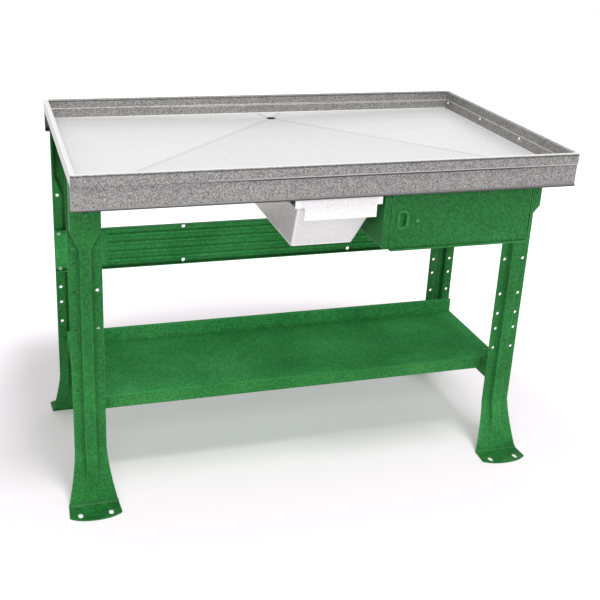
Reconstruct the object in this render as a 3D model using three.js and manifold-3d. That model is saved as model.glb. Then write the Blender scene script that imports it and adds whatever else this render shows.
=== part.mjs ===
import * as THREE from 'three';
import * as BufferGeometryUtils from 'three/addons/utils/BufferGeometryUtils.js';
import Module from 'manifold-3d';

const wasm = await Module();
wasm.setup();

// Millimetres. The origin lies on the floor under the middle of the tray, with the front at -Y.

// Clearances
const SEAT_GAP = 0.3;
const RUNNING_GAP = 0.5;
const CUT_MARGIN = 2;

// Curve divisions
const BEND_STEPS = 2;
const CORNER_STEPS = 3;
const HOLE_SIDES = 12;
const ROUND_SIDES = 24;
const HEX_SIDES = 6;

// Tray
const TRAY_LENGTH = 1219;
const TRAY_DEPTH = 730;
const RIM_HEIGHT = 906;
const TRAY_SHEET = 1.6;
const CAP_DROP = 27;
const CAP_HEM_HEIGHT = 8;
const RIM_LAND = 13;
const RIM_CORNER_RADIUS = 5;
const LIP_CORNER_RADIUS = 3;
const LIP_STEP_DROP = 22;
const LIP_STEP_HEIGHT = 2;
const LIP_STEP_INSET = 1.5;
const LIP_DEPTH = 48;
const LIP_LEAN = 1;
const FLOOR_FALL = 8;
const DRAIN_X = 24.5;
const DRAIN_BACK_INSET = 58;
const DRAIN_RADIUS = 13.5;
const CREASE_SPREAD_ANGLE = 0.12;
const FRONT_SIDE_STEPS = 5;
const END_SIDE_STEPS = 4;
const BACK_SIDE_STEPS = 9;

// Drain spigot
const SPIGOT_FLANGE_RADIUS = 22;
const SPIGOT_FLANGE_THICKNESS = 2.5;
const SPIGOT_RADIUS = 14.5;
const SPIGOT_WALL = 2;
const SPIGOT_LENGTH = 37;

// Aprons that stand inside the cap at the front and back
const APRON_INSET = 6;
const APRON_CAP_INSET = 4.5;
const APRON_END_INSET = 0.5;
const APRON_CAP_GAP = 1;
const APRON_SHEET = 1.5;
const APRON_DROP = 56;
const APRON_BULGE = 2.5;
const APRON_BULGE_HEIGHT = 7;
const APRON_BULGE_SLOPE = 3;
const APRON_FOOT_WIDTH = 20;
const APRON_RETURN_WIDTH = 14;
const APRON_RETURN_TOP_GAP = 3;

// Pressed legs
const LEG_SHEET = 2.8;
const LEG_WIDTH = 79.5;
const LEG_END_INSET = 2.6;
const LEG_PLANE_INSET = 158.5;
const BASE_SHIFT_Y = 5.5;
const LEG_TOP_DROP = 2.9;
const HEAD_LENGTH = 123.1;
const HEAD_SLOPE_LENGTH = 52;
const HEAD_DEPTH = 34;
const HEAD_WIDTH = 70;
const RIDGE_HEIGHT = 13;
const RIDGE_WIDTH = 34;
const RIDGE_WALL_LEAN = 3.5;
const RIDGE_BEND = 2.2;
const KNEE_HEIGHT = 142;
const FOOT_LEAN = 40;
const FOOT_WIDTH = 125;
const RIDGE_FADE_TOP = 112;
const RIDGE_FADE_BOTTOM = 30;
const ANKLE_HEIGHT = 12;
const ANKLE_BEND = 3;
const TOE_WIDTH = 129.5;
const TOE_END_LENGTH = 51;
const TOE_BOW = 15;
const TOE_CORNER = 5;
const FLARE_POWER_SHARE = 1.5;
const FOOT_STATION_SHARES = [0.12, 0.22, 0.36, 0.5, 0.65, 0.79];

// Holes in the legs
const LEG_HOLE_RADIUS = 4.3;
const LEG_HOLE_SPREAD = 27;
const LEG_HOLE_DROPS = [0, 107.5, 209, 267, 312.3, 370.6];
const TOE_SLOT_WIDTH = 12;
const TOE_SLOT_LENGTH = 20;
const TOE_SLOT_SPREAD = 38;
const TOE_SLOT_REACH = 81.5;
const HEAD_BOLT_RISE = 42;

// Bolts
const BOLT_HEAD_ACROSS = 10;
const BOLT_HEAD_HEIGHT = 4;
const BOLT_RADIUS = 3;
const BOLT_HOLE_CLEARANCE = 0.7;
const BOLT_SHANK_SPARE = 2;
const STRINGER_BOLT_RADIUS = 3.5;
const STRINGER_BOLT_ACROSS = 10;
const STRINGER_BOLT_HEAD = 4.5;

// End channels between the front and rear leg heads
const CHANNEL_SHEET = 2;
const END_CHANNEL_WIDTH = 28;
const END_CHANNEL_HEIGHT = 110;
const END_CHANNEL_TAB_WIDTH = 46;
const END_CHANNEL_TAB_HEIGHT = 90;
const END_CHANNEL_BEND = 3.5;

// Cross rails between the end channels
const CROSS_RAIL_DROP = 32;
const CROSS_RAIL_HEIGHT = 29;
const CROSS_RAIL_WIDTH = 30;
const FRONT_CROSS_RAIL_SETBACK = 27;
const BACK_CROSS_RAIL_SETBACK = 42;

// Back stringer
const STRINGER_TOP_MARGIN = 9.5;
const STRINGER_BOTTOM_MARGIN = 8.5;
const STRINGER_SHEET = 1.6;
const STRINGER_FLANGE = 13;
const STRINGER_BEND = 3;
const STRINGER_END_INSET = 4;
const STRINGER_RIB_DROPS = [25, 49, 76, 99];
const STRINGER_RIB_END_INSET = 139.5;
const STRINGER_RIB_FADE = 12;
const STRINGER_RIB_DEPTH = 4;
const STRINGER_RIB_WIDTH = 11;
const STRINGER_RIB_CREST = 4;
const STRINGER_HOLE_RADIUS = 5;
const STRINGER_HOLE_SHARE = 0.205;

// Lower shelf
const SHELF_TOP = 257;
const SHELF_SHEET = 1.6;
const SHELF_END_INSET = 23;
const SHELF_FRONT_SETBACK = 50;
const SHELF_BACK_SETBACK = 53;
const SHELF_FRONT_DROP = 36;
const SHELF_FRONT_RETURN = 12;
const SHELF_BACK_RISE = 39;
const SHELF_BACK_HEM = 8;
const SHELF_BEND = 3;
const SHELF_NOTCH_CLEARANCE = 2;
const SHELF_HOLE_RADIUS = 5;
const SHELF_HOLE_END_INSET = 15;
const SHELF_HOLE_FRONT_INSET = 48;
const SHELF_HOLE_BACK_INSET = 42;

// Channels that carry the shelf between the legs
const SUPPORT_WEB_INSET = 31.65;
const SUPPORT_TOP_WIDTH = 52;
const SUPPORT_FOOT_WIDTH = 30;
const SUPPORT_HEIGHT = 47;
const SUPPORT_TAB_WIDTH = 60;

// Drain pan
const PAN_SHEET = 1.5;
const PAN_MOUTH_WIDTH = 195;
const PAN_FLOOR_WIDTH = 157;
const PAN_RIM_DROP = 15.5;
const PAN_DEPTH = 133.5;
const PAN_RIM_WIDTH = 9;
const PAN_FRONT_INSET = 24;
const PAN_BACK_INSET = 25;
const PAN_FRONT_SLOPE = 96;
const PAN_BACK_SLOPE = 22;
const PAN_CORNER_RADIUS = 6;
const PAN_PLATE_INSET = 15;
const PAN_PLATE_TOP_GAP = 2.5;
const PAN_PLATE_STEP_HEIGHT = 19.5;
const PAN_PLATE_HEIGHT = 50.5;
const PAN_PLATE_TOP_REACH = 107;
const PAN_PLATE_LEFT_REACH = 84;
const PAN_PLATE_RIGHT_REACH = 93.5;
const PAN_PLATE_HEM = 6;

// Rails that carry the pan rims
const PAN_RAIL_SHEET = 2;
const PAN_RAIL_FLANGE = 11;
const PAN_RAIL_SIDE_GAP = 1;
const PAN_RAIL_FRONT_INSET = 75;
const PAN_RAIL_BACK_INSET = 20;
const PAN_RAIL_BEND = 3;

// Drawer cabinet
const CABINET_PAN_GAP = 6;
const CABINET_END_INSET = 102;
const CABINET_DROP = 132;
const CABINET_FRONT_INSET = 20;
const CABINET_BACK_SETBACK = 17;
const CABINET_SHEET = 1.6;
const CABINET_BEND = 3;
const CABINET_TOP_FLANGE = 15;
const CABINET_FRONT_FLANGE = 16.5;
const CABINET_FLOOR_SETBACK = 15;

// Drawer front
const DRAWER_FRONT_LEFT_INSET = 17.5;
const DRAWER_FRONT_RIGHT_INSET = 4.5;
const DRAWER_FRONT_OVERHANG = 6;
const DRAWER_FRONT_TOP_GAP = 2;
const DRAWER_FRONT_INSET = 17;
const DRAWER_FRONT_DEPTH = 14;
const DRAWER_FRONT_SHEET = 1.6;
const DRAWER_FRONT_CORNER = 4;
const DRAWER_FRONT_EDGE = 2;
const DRAWER_FRONT_RETURN = 26;
const DRAWER_LIP_DEPTH = 3;
const DRAWER_LIP_HEIGHT = 5;

// Drawer box
const DRAWER_BOX_DROP = 18;
const DRAWER_BOX_BACK_GAP = 20.7;
const DRAWER_BOX_SHEET = 1.4;
const DRAWER_BOX_CORNER = 5;
const DRAWER_BOX_RIM = 6;
const DRAWER_BOX_LEFT_GAP = 1.5;
const DRAWER_BOX_SIDE_GAP = 16;

// Runners under the drawer box
const RUNNER_INSET = 24;
const RUNNER_WIDTH = 28;
const RUNNER_HEIGHT = 12;
const RUNNER_SHEET = 1.5;
const RUNNER_BACK_GAP = 18.7;
const RUNNER_FRONT_SETBACK = 30;
const SLIDE_SKIRT = 9;

// Drawer pull and lock
const PULL_EDGE_INSET = 29.5;
const PULL_DROP = 60;
const PULL_WIDTH = 30;
const PULL_HEIGHT = 50;
const PULL_RING = 5;
const PULL_PROUD = 3;
const PULL_CUP_DEPTH = 8;
const PULL_CUP_WALL = 1.2;
const LOCK_EDGE_INSET = 67.5;
const LOCK_DROP = 64;
const LOCK_RADIUS = 5;
const LOCK_PROUD = 2;
const LOCK_BODY_LENGTH = 9;

// Places worked out from the sizes above
const TRAY_END_X = TRAY_LENGTH / 2;
const TRAY_FRONT_Y = -TRAY_DEPTH / 2;
const TRAY_BACK_Y = TRAY_DEPTH / 2;
const CAP_BOTTOM = RIM_HEIGHT - CAP_DROP;
const FLOOR_EDGE_Z = RIM_HEIGHT - LIP_DEPTH;
const DRAIN_Y = TRAY_BACK_Y - DRAIN_BACK_INSET;
const DRAIN_Z = FLOOR_EDGE_Z - FLOOR_FALL;
const FLOOR_INSET = RIM_LAND + LIP_STEP_INSET + LIP_LEAN;
const APRON_BOTTOM = CAP_BOTTOM - APRON_DROP;
const LEG_X = TRAY_END_X - LEG_END_INSET - LEG_WIDTH / 2;
const LEG_PLANE_REACH = TRAY_BACK_Y - LEG_PLANE_INSET;
const FRONT_PLANE_Y = BASE_SHIFT_Y - LEG_PLANE_REACH;
const REAR_PLANE_Y = BASE_SHIFT_Y + LEG_PLANE_REACH;
const LEG_BACK_FACE_REACH = LEG_PLANE_REACH - LEG_SHEET;
const HEAD_BACK_FACE_REACH = LEG_PLANE_REACH + HEAD_DEPTH - LEG_SHEET;
const LEG_TOP = FLOOR_EDGE_Z - LEG_TOP_DROP;
const HEAD_BOTTOM = LEG_TOP - HEAD_LENGTH;
const HAT_TOP = HEAD_BOTTOM - HEAD_SLOPE_LENGTH;
const LEG_HOLE_HEIGHTS = LEG_HOLE_DROPS.map((drop) => HAT_TOP - drop);
const HEAD_BOLT_HEIGHT = HEAD_BOTTOM + HEAD_BOLT_RISE;
const CROSS_RAIL_BOTTOM = DRAIN_Z - CROSS_RAIL_DROP;
const HANGING_TOP = CROSS_RAIL_BOTTOM - SEAT_GAP;
const [, STRINGER_UPPER_BOLT_Z, STRINGER_LOWER_BOLT_Z] = LEG_HOLE_HEIGHTS;
const STRINGER_TOP = STRINGER_UPPER_BOLT_Z + STRINGER_TOP_MARGIN;
const STRINGER_BOTTOM = STRINGER_LOWER_BOLT_Z - STRINGER_BOTTOM_MARGIN;
const STRINGER_BACK_Y = BASE_SHIFT_Y + LEG_BACK_FACE_REACH - SEAT_GAP;
const STRINGER_HOLE_X = TRAY_LENGTH * STRINGER_HOLE_SHARE;
const SHELF_REACH = TRAY_END_X - SHELF_END_INSET;
const SHELF_FRONT_Y = FRONT_PLANE_Y + SHELF_FRONT_SETBACK;
const SHELF_BACK_Y = REAR_PLANE_Y - SHELF_BACK_SETBACK;
const SUPPORT_INNER_X = LEG_X - SUPPORT_WEB_INSET;
const SUPPORT_TOP = SHELF_TOP - SHELF_SHEET - SEAT_GAP;
const PAN_RIM_TOP = CROSS_RAIL_BOTTOM - PAN_RIM_DROP;
const PAN_RIM_UNDER = PAN_RIM_TOP - PAN_SHEET;
const PAN_BOTTOM = PAN_RIM_TOP - PAN_DEPTH;
const PAN_FRONT_Y = TRAY_FRONT_Y + PAN_FRONT_INSET;
const PAN_BACK_Y = TRAY_BACK_Y - PAN_BACK_INSET;
const PAN_FLOOR_FRONT_Y = PAN_FRONT_Y + PAN_FRONT_SLOPE;
const PAN_FLOOR_BACK_Y = PAN_BACK_Y - PAN_BACK_SLOPE;
const PAN_PLATE_Y = TRAY_FRONT_Y + PAN_PLATE_INSET;
const PAN_PLATE_TOP = APRON_BOTTOM - PAN_PLATE_TOP_GAP;
const PAN_PLATE_STEP = PAN_PLATE_TOP - PAN_PLATE_STEP_HEIGHT;
const PAN_PLATE_BOTTOM = PAN_PLATE_TOP - PAN_PLATE_HEIGHT;
const PAN_RAIL_BOTTOM = PAN_RIM_UNDER - SEAT_GAP - PAN_RAIL_SHEET;
const PAN_RAIL_FRONT_Y = TRAY_FRONT_Y + PAN_RAIL_FRONT_INSET;
const PAN_RAIL_BACK_Y = TRAY_BACK_Y - PAN_RAIL_BACK_INSET;
const PAN_RIM_REACH = PAN_MOUTH_WIDTH / 2 + PAN_RIM_WIDTH;
const PAN_RAIL_REACH = PAN_RIM_REACH + PAN_RAIL_SIDE_GAP + PAN_RAIL_SHEET;
const CABINET_LEFT_X = PAN_RAIL_REACH + CABINET_PAN_GAP;
const CABINET_RIGHT_X = TRAY_END_X - CABINET_END_INSET;
const CABINET_BOTTOM = CROSS_RAIL_BOTTOM - CABINET_DROP;
const CABINET_FRONT_Y = TRAY_FRONT_Y + CABINET_FRONT_INSET;
const CABINET_BACK_Y = REAR_PLANE_Y - CABINET_BACK_SETBACK;
const CABINET_FLOOR_TOP = CABINET_BOTTOM + CABINET_SHEET;
const DRAWER_FRONT_LEFT_X = CABINET_LEFT_X + DRAWER_FRONT_LEFT_INSET;
const DRAWER_FRONT_RIGHT_X = CABINET_RIGHT_X - DRAWER_FRONT_RIGHT_INSET;
const DRAWER_FRONT_BOTTOM = CABINET_BOTTOM - DRAWER_FRONT_OVERHANG;
const DRAWER_FRONT_TOP = APRON_BOTTOM - DRAWER_FRONT_TOP_GAP;
const DRAWER_FRONT_Y = TRAY_FRONT_Y + DRAWER_FRONT_INSET;
const RUNNER_BOTTOM = CABINET_FLOOR_TOP + SEAT_GAP;
const RUNNER_TOP = RUNNER_BOTTOM + RUNNER_HEIGHT;
const SLIDE_TOP = RUNNER_TOP + SEAT_GAP + RUNNER_SHEET;
const DRAWER_BOX_TOP = CROSS_RAIL_BOTTOM - DRAWER_BOX_DROP;
const DRAWER_BOX_BOTTOM = SLIDE_TOP + SEAT_GAP;
const DRAWER_BOX_FRONT_Y = DRAWER_FRONT_Y + DRAWER_FRONT_DEPTH + SEAT_GAP;
const DRAWER_BOX_BACK_Y = CABINET_BACK_Y - DRAWER_BOX_BACK_GAP;
const DRAWER_BOX_LEFT_X = DRAWER_FRONT_LEFT_X + DRAWER_BOX_LEFT_GAP;
const DRAWER_BOX_RIGHT_X = CABINET_RIGHT_X - CABINET_SHEET - DRAWER_BOX_SIDE_GAP;
const RUNNER_X = [DRAWER_BOX_LEFT_X + RUNNER_INSET, DRAWER_BOX_RIGHT_X - RUNNER_INSET];
const RUNNER_FRONT_Y = DRAWER_BOX_FRONT_Y + RUNNER_FRONT_SETBACK;
const RUNNER_BACK_Y = CABINET_BACK_Y - RUNNER_BACK_GAP;
const PULL_X = DRAWER_FRONT_LEFT_X + PULL_EDGE_INSET;
const PULL_Z = CROSS_RAIL_BOTTOM - PULL_DROP;
const LOCK_X = DRAWER_FRONT_LEFT_X + LOCK_EDGE_INSET;
const LOCK_Z = CROSS_RAIL_BOTTOM - LOCK_DROP;

// Directions
const AXIS_X = new THREE.Vector3(1, 0, 0);
const AXIS_Y = new THREE.Vector3(0, 1, 0);
const AXIS_Z = new THREE.Vector3(0, 0, 1);

// Solids
function bare(geometry) {
  const plain = geometry.clone();
  plain.deleteAttribute('normal');
  plain.deleteAttribute('uv');
  return BufferGeometryUtils.mergeVertices(plain);
}

function toSolid(geometry) {
  const plain = bare(geometry);
  const vertProperties = new Float32Array(plain.attributes.position.array);
  const triVerts = new Uint32Array(plain.index.array);
  return new wasm.Manifold(new wasm.Mesh({ numProp: 3, vertProperties, triVerts }));
}

function toGeometry(solid) {
  const mesh = solid.getMesh();
  const geometry = new THREE.BufferGeometry();
  geometry.setAttribute('position', new THREE.BufferAttribute(new Float32Array(mesh.vertProperties), 3));
  geometry.setIndex(new THREE.BufferAttribute(new Uint32Array(mesh.triVerts), 1));
  return geometry;
}

function joined(geometries) {
  return toGeometry(geometries.map(toSolid).reduce((whole, next) => whole.add(next)));
}

function cut(geometry, cutters) {
  return toGeometry(cutters.map(toSolid).reduce((whole, next) => whole.subtract(next), toSolid(geometry)));
}

function signedVolume(positions) {
  const a = new THREE.Vector3();
  const b = new THREE.Vector3();
  const c = new THREE.Vector3();
  let total = 0;
  for (let i = 0; i < positions.length; i += 9) {
    a.fromArray(positions, i);
    b.fromArray(positions, i + 3);
    c.fromArray(positions, i + 6);
    total += a.dot(b.cross(c));
  }
  return total;
}

function facingOut(positions) {
  if (signedVolume(positions) > 0) {
    return positions;
  }
  const flipped = positions.slice();
  for (let i = 0; i < positions.length; i += 9) {
    for (let k = 0; k < 3; k += 1) {
      flipped[i + 3 + k] = positions[i + 6 + k];
      flipped[i + 6 + k] = positions[i + 3 + k];
    }
  }
  return flipped;
}

function fromPositions(positions) {
  const geometry = new THREE.BufferGeometry();
  geometry.setAttribute('position', new THREE.Float32BufferAttribute(facingOut(positions), 3));
  return geometry;
}

function copied(geometry, matrix) {
  const plain = geometry.clone().applyMatrix4(matrix);
  const flat = plain.index ? plain.toNonIndexed() : plain;
  return bare(fromPositions(Array.from(flat.attributes.position.array)));
}

function mirroredX(geometry) {
  return copied(geometry, new THREE.Matrix4().makeScale(-1, 1, 1));
}

function moved(geometry, x, y, z) {
  return geometry.clone().translate(x, y, z);
}

function box(x0, x1, y0, y1, z0, z1) {
  const geometry = new THREE.BoxGeometry(x1 - x0, y1 - y0, z1 - z0);
  return geometry.translate((x0 + x1) / 2, (y0 + y1) / 2, (z0 + z1) / 2);
}

function bar(radius, sides, start, length, axis) {
  const geometry = new THREE.CylinderGeometry(radius, radius, length, sides);
  const turn = new THREE.Quaternion().setFromUnitVectors(AXIS_Y, axis);
  const middle = start.clone().addScaledVector(axis, length / 2);
  return geometry.applyQuaternion(turn).translate(middle.x, middle.y, middle.z);
}

function extruded(outline, from, to, axis) {
  const geometry = new THREE.ExtrudeGeometry(new THREE.Shape(outline), {
    depth: to - from,
    bevelEnabled: false,
    steps: 1,
  });
  const alongX = new THREE.Matrix4().makeBasis(AXIS_Y, AXIS_Z, AXIS_X).setPosition(from, 0, 0);
  const alongY = new THREE.Matrix4().makeBasis(AXIS_X, AXIS_Z, AXIS_Y.clone().negate()).setPosition(0, to, 0);
  return copied(geometry, axis === 'x' ? alongX : alongY);
}

// Sheet metal sections: a polyline with rounded bends, thickened to its left
function withBends(points, radius) {
  const line = [points[0]];
  for (let i = 1; i < points.length - 1; i += 1) {
    const into = points[i].clone().sub(points[i - 1]).normalize();
    const out = points[i + 1].clone().sub(points[i]).normalize();
    const turn = Math.acos(THREE.MathUtils.clamp(into.dot(out), -1, 1));
    const reach = radius * Math.tan(turn / 2);
    const side = Math.sign(into.cross(out));
    const centre = points[i].clone().addScaledVector(into, -reach);
    centre.add(new THREE.Vector2(-into.y, into.x).multiplyScalar(side * radius));
    const start = points[i].clone().addScaledVector(into, -reach).sub(centre);
    for (let k = 0; k <= BEND_STEPS; k += 1) {
      const spin = side * turn * k / BEND_STEPS;
      line.push(start.clone().rotateAround(new THREE.Vector2(), spin).add(centre));
    }
  }
  line.push(points[points.length - 1]);
  return line;
}

function offsetLine(points, distance) {
  return points.map((point, i) => {
    const before = points[Math.max(i - 1, 0)];
    const after = points[Math.min(i + 1, points.length - 1)];
    const into = (i > 0 ? point.clone().sub(before) : after.clone().sub(point)).normalize();
    const out = (i < points.length - 1 ? after.clone().sub(point) : point.clone().sub(before)).normalize();
    const normal = new THREE.Vector2(-into.y - out.y, into.x + out.x).normalize();
    const stretch = 1 / normal.dot(new THREE.Vector2(-into.y, into.x));
    return point.clone().addScaledVector(normal, distance * stretch);
  });
}

function folded(corners, thickness, radius, from, to, axis) {
  const line = withBends(corners.map(([u, v]) => new THREE.Vector2(u, v)), radius);
  const outline = line.concat(offsetLine(line, thickness).reverse());
  return extruded(outline, from, to, axis);
}

function roundedLoop(reachX, reachY, radius, sideSteps) {
  const points = [];
  const signs = [[-1, -1], [1, -1], [1, 1], [-1, 1]];
  const corner = signs.map(([sx, sy], c) => {
    const arc = [];
    for (let k = 0; k <= CORNER_STEPS; k += 1) {
      const angle = Math.PI * (1 + c / 2 + k / CORNER_STEPS / 2);
      const x = sx * (reachX - radius) + radius * Math.cos(angle);
      const y = sy * (reachY - radius) + radius * Math.sin(angle);
      arc.push(new THREE.Vector2(x, y));
    }
    return arc;
  });
  corner.forEach((arc, c) => {
    points.push(...arc);
    const from = arc[CORNER_STEPS];
    const to = corner[(c + 1) % corner.length][0];
    for (let k = 1; k < sideSteps[c]; k += 1) {
      points.push(from.clone().lerp(to, k / sideSteps[c]));
    }
  });
  return points;
}

function quad(positions, a, b, c, d) {
  [a, b, c, a, c, d].forEach((point) => positions.push(point.x, point.y, point.z));
}

function skin(positions, loops) {
  for (let s = 0; s < loops.length - 1; s += 1) {
    const low = loops[s];
    const high = loops[s + 1];
    low.forEach((point, i) => {
      const next = (i + 1) % low.length;
      quad(positions, point, low[next], high[next], high[i]);
    });
  }
}

function ringBody(loops) {
  const positions = [];
  skin(positions, loops.concat([loops[0]]));
  return fromPositions(positions);
}

function cupBody(loops) {
  const positions = [];
  skin(positions, loops);
  const first = loops[0];
  const last = loops[loops.length - 1];
  for (let i = 1; i < first.length - 1; i += 1) {
    [first[0], first[i + 1], first[i]].forEach((p) => positions.push(p.x, p.y, p.z));
    [last[0], last[i], last[i + 1]].forEach((p) => positions.push(p.x, p.y, p.z));
  }
  return fromPositions(positions);
}

function sheetBody(outerRows, innerRows) {
  const positions = [];
  const loops = outerRows.map((row, s) => row.concat(innerRows[s].slice().reverse()));
  skin(positions, loops);
  const count = outerRows[0].length;
  const last = outerRows.length - 1;
  for (let i = 0; i < count - 1; i += 1) {
    quad(positions, outerRows[0][i + 1], outerRows[0][i], innerRows[0][i], innerRows[0][i + 1]);
    quad(positions, outerRows[last][i], outerRows[last][i + 1], innerRows[last][i + 1], innerRows[last][i]);
  }
  return fromPositions(positions);
}

function stadium(width, height, x, z) {
  const radius = width / 2;
  const straight = height / 2 - radius;
  const points = [];
  for (let k = 0; k <= HOLE_SIDES; k += 1) {
    const angle = Math.PI * k / HOLE_SIDES;
    points.push(new THREE.Vector2(x + radius * Math.cos(angle), z + straight + radius * Math.sin(angle)));
  }
  for (let k = 0; k <= HOLE_SIDES; k += 1) {
    const angle = Math.PI * (1 + k / HOLE_SIDES);
    points.push(new THREE.Vector2(x + radius * Math.cos(angle), z - straight + radius * Math.sin(angle)));
  }
  return points;
}

// Tray: one sheet folded over the rim, stepped down the lip and creased to the drain
const TRAY_SIDE_STEPS = [FRONT_SIDE_STEPS, END_SIDE_STEPS, BACK_SIDE_STEPS, END_SIDE_STEPS];

function trayLoop(inset, z) {
  const radius = Math.max(RIM_CORNER_RADIUS - inset, LIP_CORNER_RADIUS);
  const flat = roundedLoop(TRAY_END_X - inset, -TRAY_FRONT_Y - inset, radius, TRAY_SIDE_STEPS);
  return flat.map((point) => new THREE.Vector3(point.x, point.y, z));
}

function drainLoop(radius, z) {
  const reachX = TRAY_END_X - FLOOR_INSET;
  const reachY = -TRAY_FRONT_Y - FLOOR_INSET;
  const signs = [[-1, -1], [1, -1], [1, 1], [-1, 1]];
  const creases = signs.map(([sx, sy]) => Math.atan2(sy * reachY - DRAIN_Y, sx * reachX - DRAIN_X));
  creases.push(creases[0] + 2 * Math.PI);
  const angles = [];
  for (let c = 0; c < signs.length; c += 1) {
    for (let k = 0; k <= CORNER_STEPS; k += 1) {
      angles.push(creases[c] + CREASE_SPREAD_ANGLE * (k / CORNER_STEPS - 1 / 2));
    }
    const from = creases[c] + CREASE_SPREAD_ANGLE / 2;
    const to = creases[c + 1] - CREASE_SPREAD_ANGLE / 2;
    for (let k = 1; k < TRAY_SIDE_STEPS[c]; k += 1) {
      angles.push(THREE.MathUtils.lerp(from, to, k / TRAY_SIDE_STEPS[c]));
    }
  }
  return angles.map((angle) => new THREE.Vector3(
    DRAIN_X + radius * Math.cos(angle),
    DRAIN_Y + radius * Math.sin(angle),
    z,
  ));
}

function trayTop() {
  const stepTop = RIM_HEIGHT - LIP_STEP_DROP;
  const stepBottom = stepTop - LIP_STEP_HEIGHT;
  const lipBack = RIM_LAND - TRAY_SHEET;
  const hem = 2 * TRAY_SHEET;
  return ringBody([
    trayLoop(0, CAP_BOTTOM),
    trayLoop(0, RIM_HEIGHT - TRAY_SHEET),
    trayLoop(TRAY_SHEET / 2, RIM_HEIGHT),
    trayLoop(RIM_LAND - TRAY_SHEET / 2, RIM_HEIGHT),
    trayLoop(RIM_LAND, RIM_HEIGHT - TRAY_SHEET),
    trayLoop(RIM_LAND, stepTop),
    trayLoop(RIM_LAND + LIP_STEP_INSET, stepBottom),
    trayLoop(FLOOR_INSET, FLOOR_EDGE_Z),
    drainLoop(DRAIN_RADIUS, DRAIN_Z),
    drainLoop(DRAIN_RADIUS, DRAIN_Z - TRAY_SHEET),
    trayLoop(FLOOR_INSET - TRAY_SHEET, FLOOR_EDGE_Z - TRAY_SHEET),
    trayLoop(lipBack + LIP_STEP_INSET, stepBottom),
    trayLoop(lipBack, stepTop),
    trayLoop(lipBack, RIM_HEIGHT - TRAY_SHEET),
    trayLoop(TRAY_SHEET, RIM_HEIGHT - TRAY_SHEET),
    trayLoop(TRAY_SHEET, CAP_BOTTOM + CAP_HEM_HEIGHT),
    trayLoop(hem, CAP_BOTTOM + CAP_HEM_HEIGHT),
    trayLoop(hem, CAP_BOTTOM),
  ]);
}

function drainSpigot() {
  const top = DRAIN_Z - TRAY_SHEET - SEAT_GAP;
  const inner = SPIGOT_RADIUS - SPIGOT_WALL;
  const profile = [
    [inner, top],
    [inner, top - SPIGOT_LENGTH],
    [SPIGOT_RADIUS, top - SPIGOT_LENGTH],
    [SPIGOT_RADIUS, top - SPIGOT_FLANGE_THICKNESS],
    [SPIGOT_FLANGE_RADIUS, top - SPIGOT_FLANGE_THICKNESS],
    [SPIGOT_FLANGE_RADIUS, top],
  ];
  const loops = profile.map(([radius, z]) => {
    const loop = [];
    for (let k = 0; k < ROUND_SIDES; k += 1) {
      const angle = 2 * Math.PI * k / ROUND_SIDES;
      loop.push(new THREE.Vector3(radius * Math.cos(angle), radius * Math.sin(angle), z));
    }
    return loop;
  });
  return moved(ringBody(loops), DRAIN_X, DRAIN_Y, 0);
}

// Aprons: a band notched under the cap's ends, with a bulged hem, a foot and end returns
function apron(side) {
  const face = -TRAY_FRONT_Y - APRON_INSET;
  const top = RIM_HEIGHT - TRAY_SHEET - SEAT_GAP;
  const reach = TRAY_END_X - APRON_END_INSET;
  const bulgeTop = APRON_BOTTOM + APRON_BULGE_HEIGHT;
  const corners = [
    [-face, top],
    [-face, bulgeTop],
    [-face - APRON_BULGE, bulgeTop - APRON_BULGE_SLOPE],
    [-face - APRON_BULGE, APRON_BOTTOM],
    [-face + APRON_FOOT_WIDTH, APRON_BOTTOM],
  ];
  const full = folded(corners, APRON_SHEET, APRON_SHEET, -reach, reach, 'x');
  const capReach = TRAY_END_X - APRON_CAP_INSET;
  const notches = [[-reach - CUT_MARGIN, -capReach], [capReach, reach + CUT_MARGIN]].map(([x0, x1]) => box(
    x0,
    x1,
    -face - CUT_MARGIN,
    -face + APRON_SHEET + CUT_MARGIN,
    CAP_BOTTOM - APRON_CAP_GAP,
    top + CUT_MARGIN,
  ));
  const band = cut(full, notches);
  const returnTop = CAP_BOTTOM - APRON_RETURN_TOP_GAP;
  const returns = [-1, 1].map((end) => box(
    Math.min(end * reach, end * (reach - APRON_SHEET)),
    Math.max(end * reach, end * (reach - APRON_SHEET)),
    -face + APRON_SHEET / 2,
    -face + APRON_RETURN_WIDTH,
    APRON_BOTTOM + APRON_SHEET / 2,
    returnTop,
  ));
  const whole = joined([band, ...returns]);
  return side < 0 ? whole : copied(whole, new THREE.Matrix4().makeRotationZ(Math.PI));
}

// Legs, drawn round the leg's own middle: u across, v out from the flange face, z up
function legSection(station) {
  const half = [
    [station.halfWidth, station.base - station.edgeBack],
    [(station.halfWidth + station.foot + station.bend) / 2, station.base + station.midBow],
    [station.foot + station.bend, station.base + station.footBow],
    [station.foot, station.base + station.footBow + station.footRise],
    [station.crest, station.base + station.crestBow + station.height - station.crestDrop],
    [station.crest - station.bend, station.base + station.crestBow + station.height],
  ];
  const right = half.map(([u, v]) => new THREE.Vector2(u, v));
  const left = half.map(([u, v]) => new THREE.Vector2(-u, v));
  const middle = new THREE.Vector2(0, station.base + station.height + station.middleBow);
  return left.concat([middle], right.reverse());
}

function legStation(z, halfWidth, base, height, footHalf, crestHalf, extra = {}) {
  const bend = Math.min(RIDGE_BEND, height / 2);
  return {
    z,
    halfWidth,
    base,
    height,
    foot: footHalf,
    crest: crestHalf,
    bend: RIDGE_BEND,
    footRise: bend / 2,
    crestDrop: bend / 2,
    edgeBack: 0,
    midBow: 0,
    footBow: 0,
    crestBow: 0,
    middleBow: 0,
    drop: 0,
    ...extra,
  };
}

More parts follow.
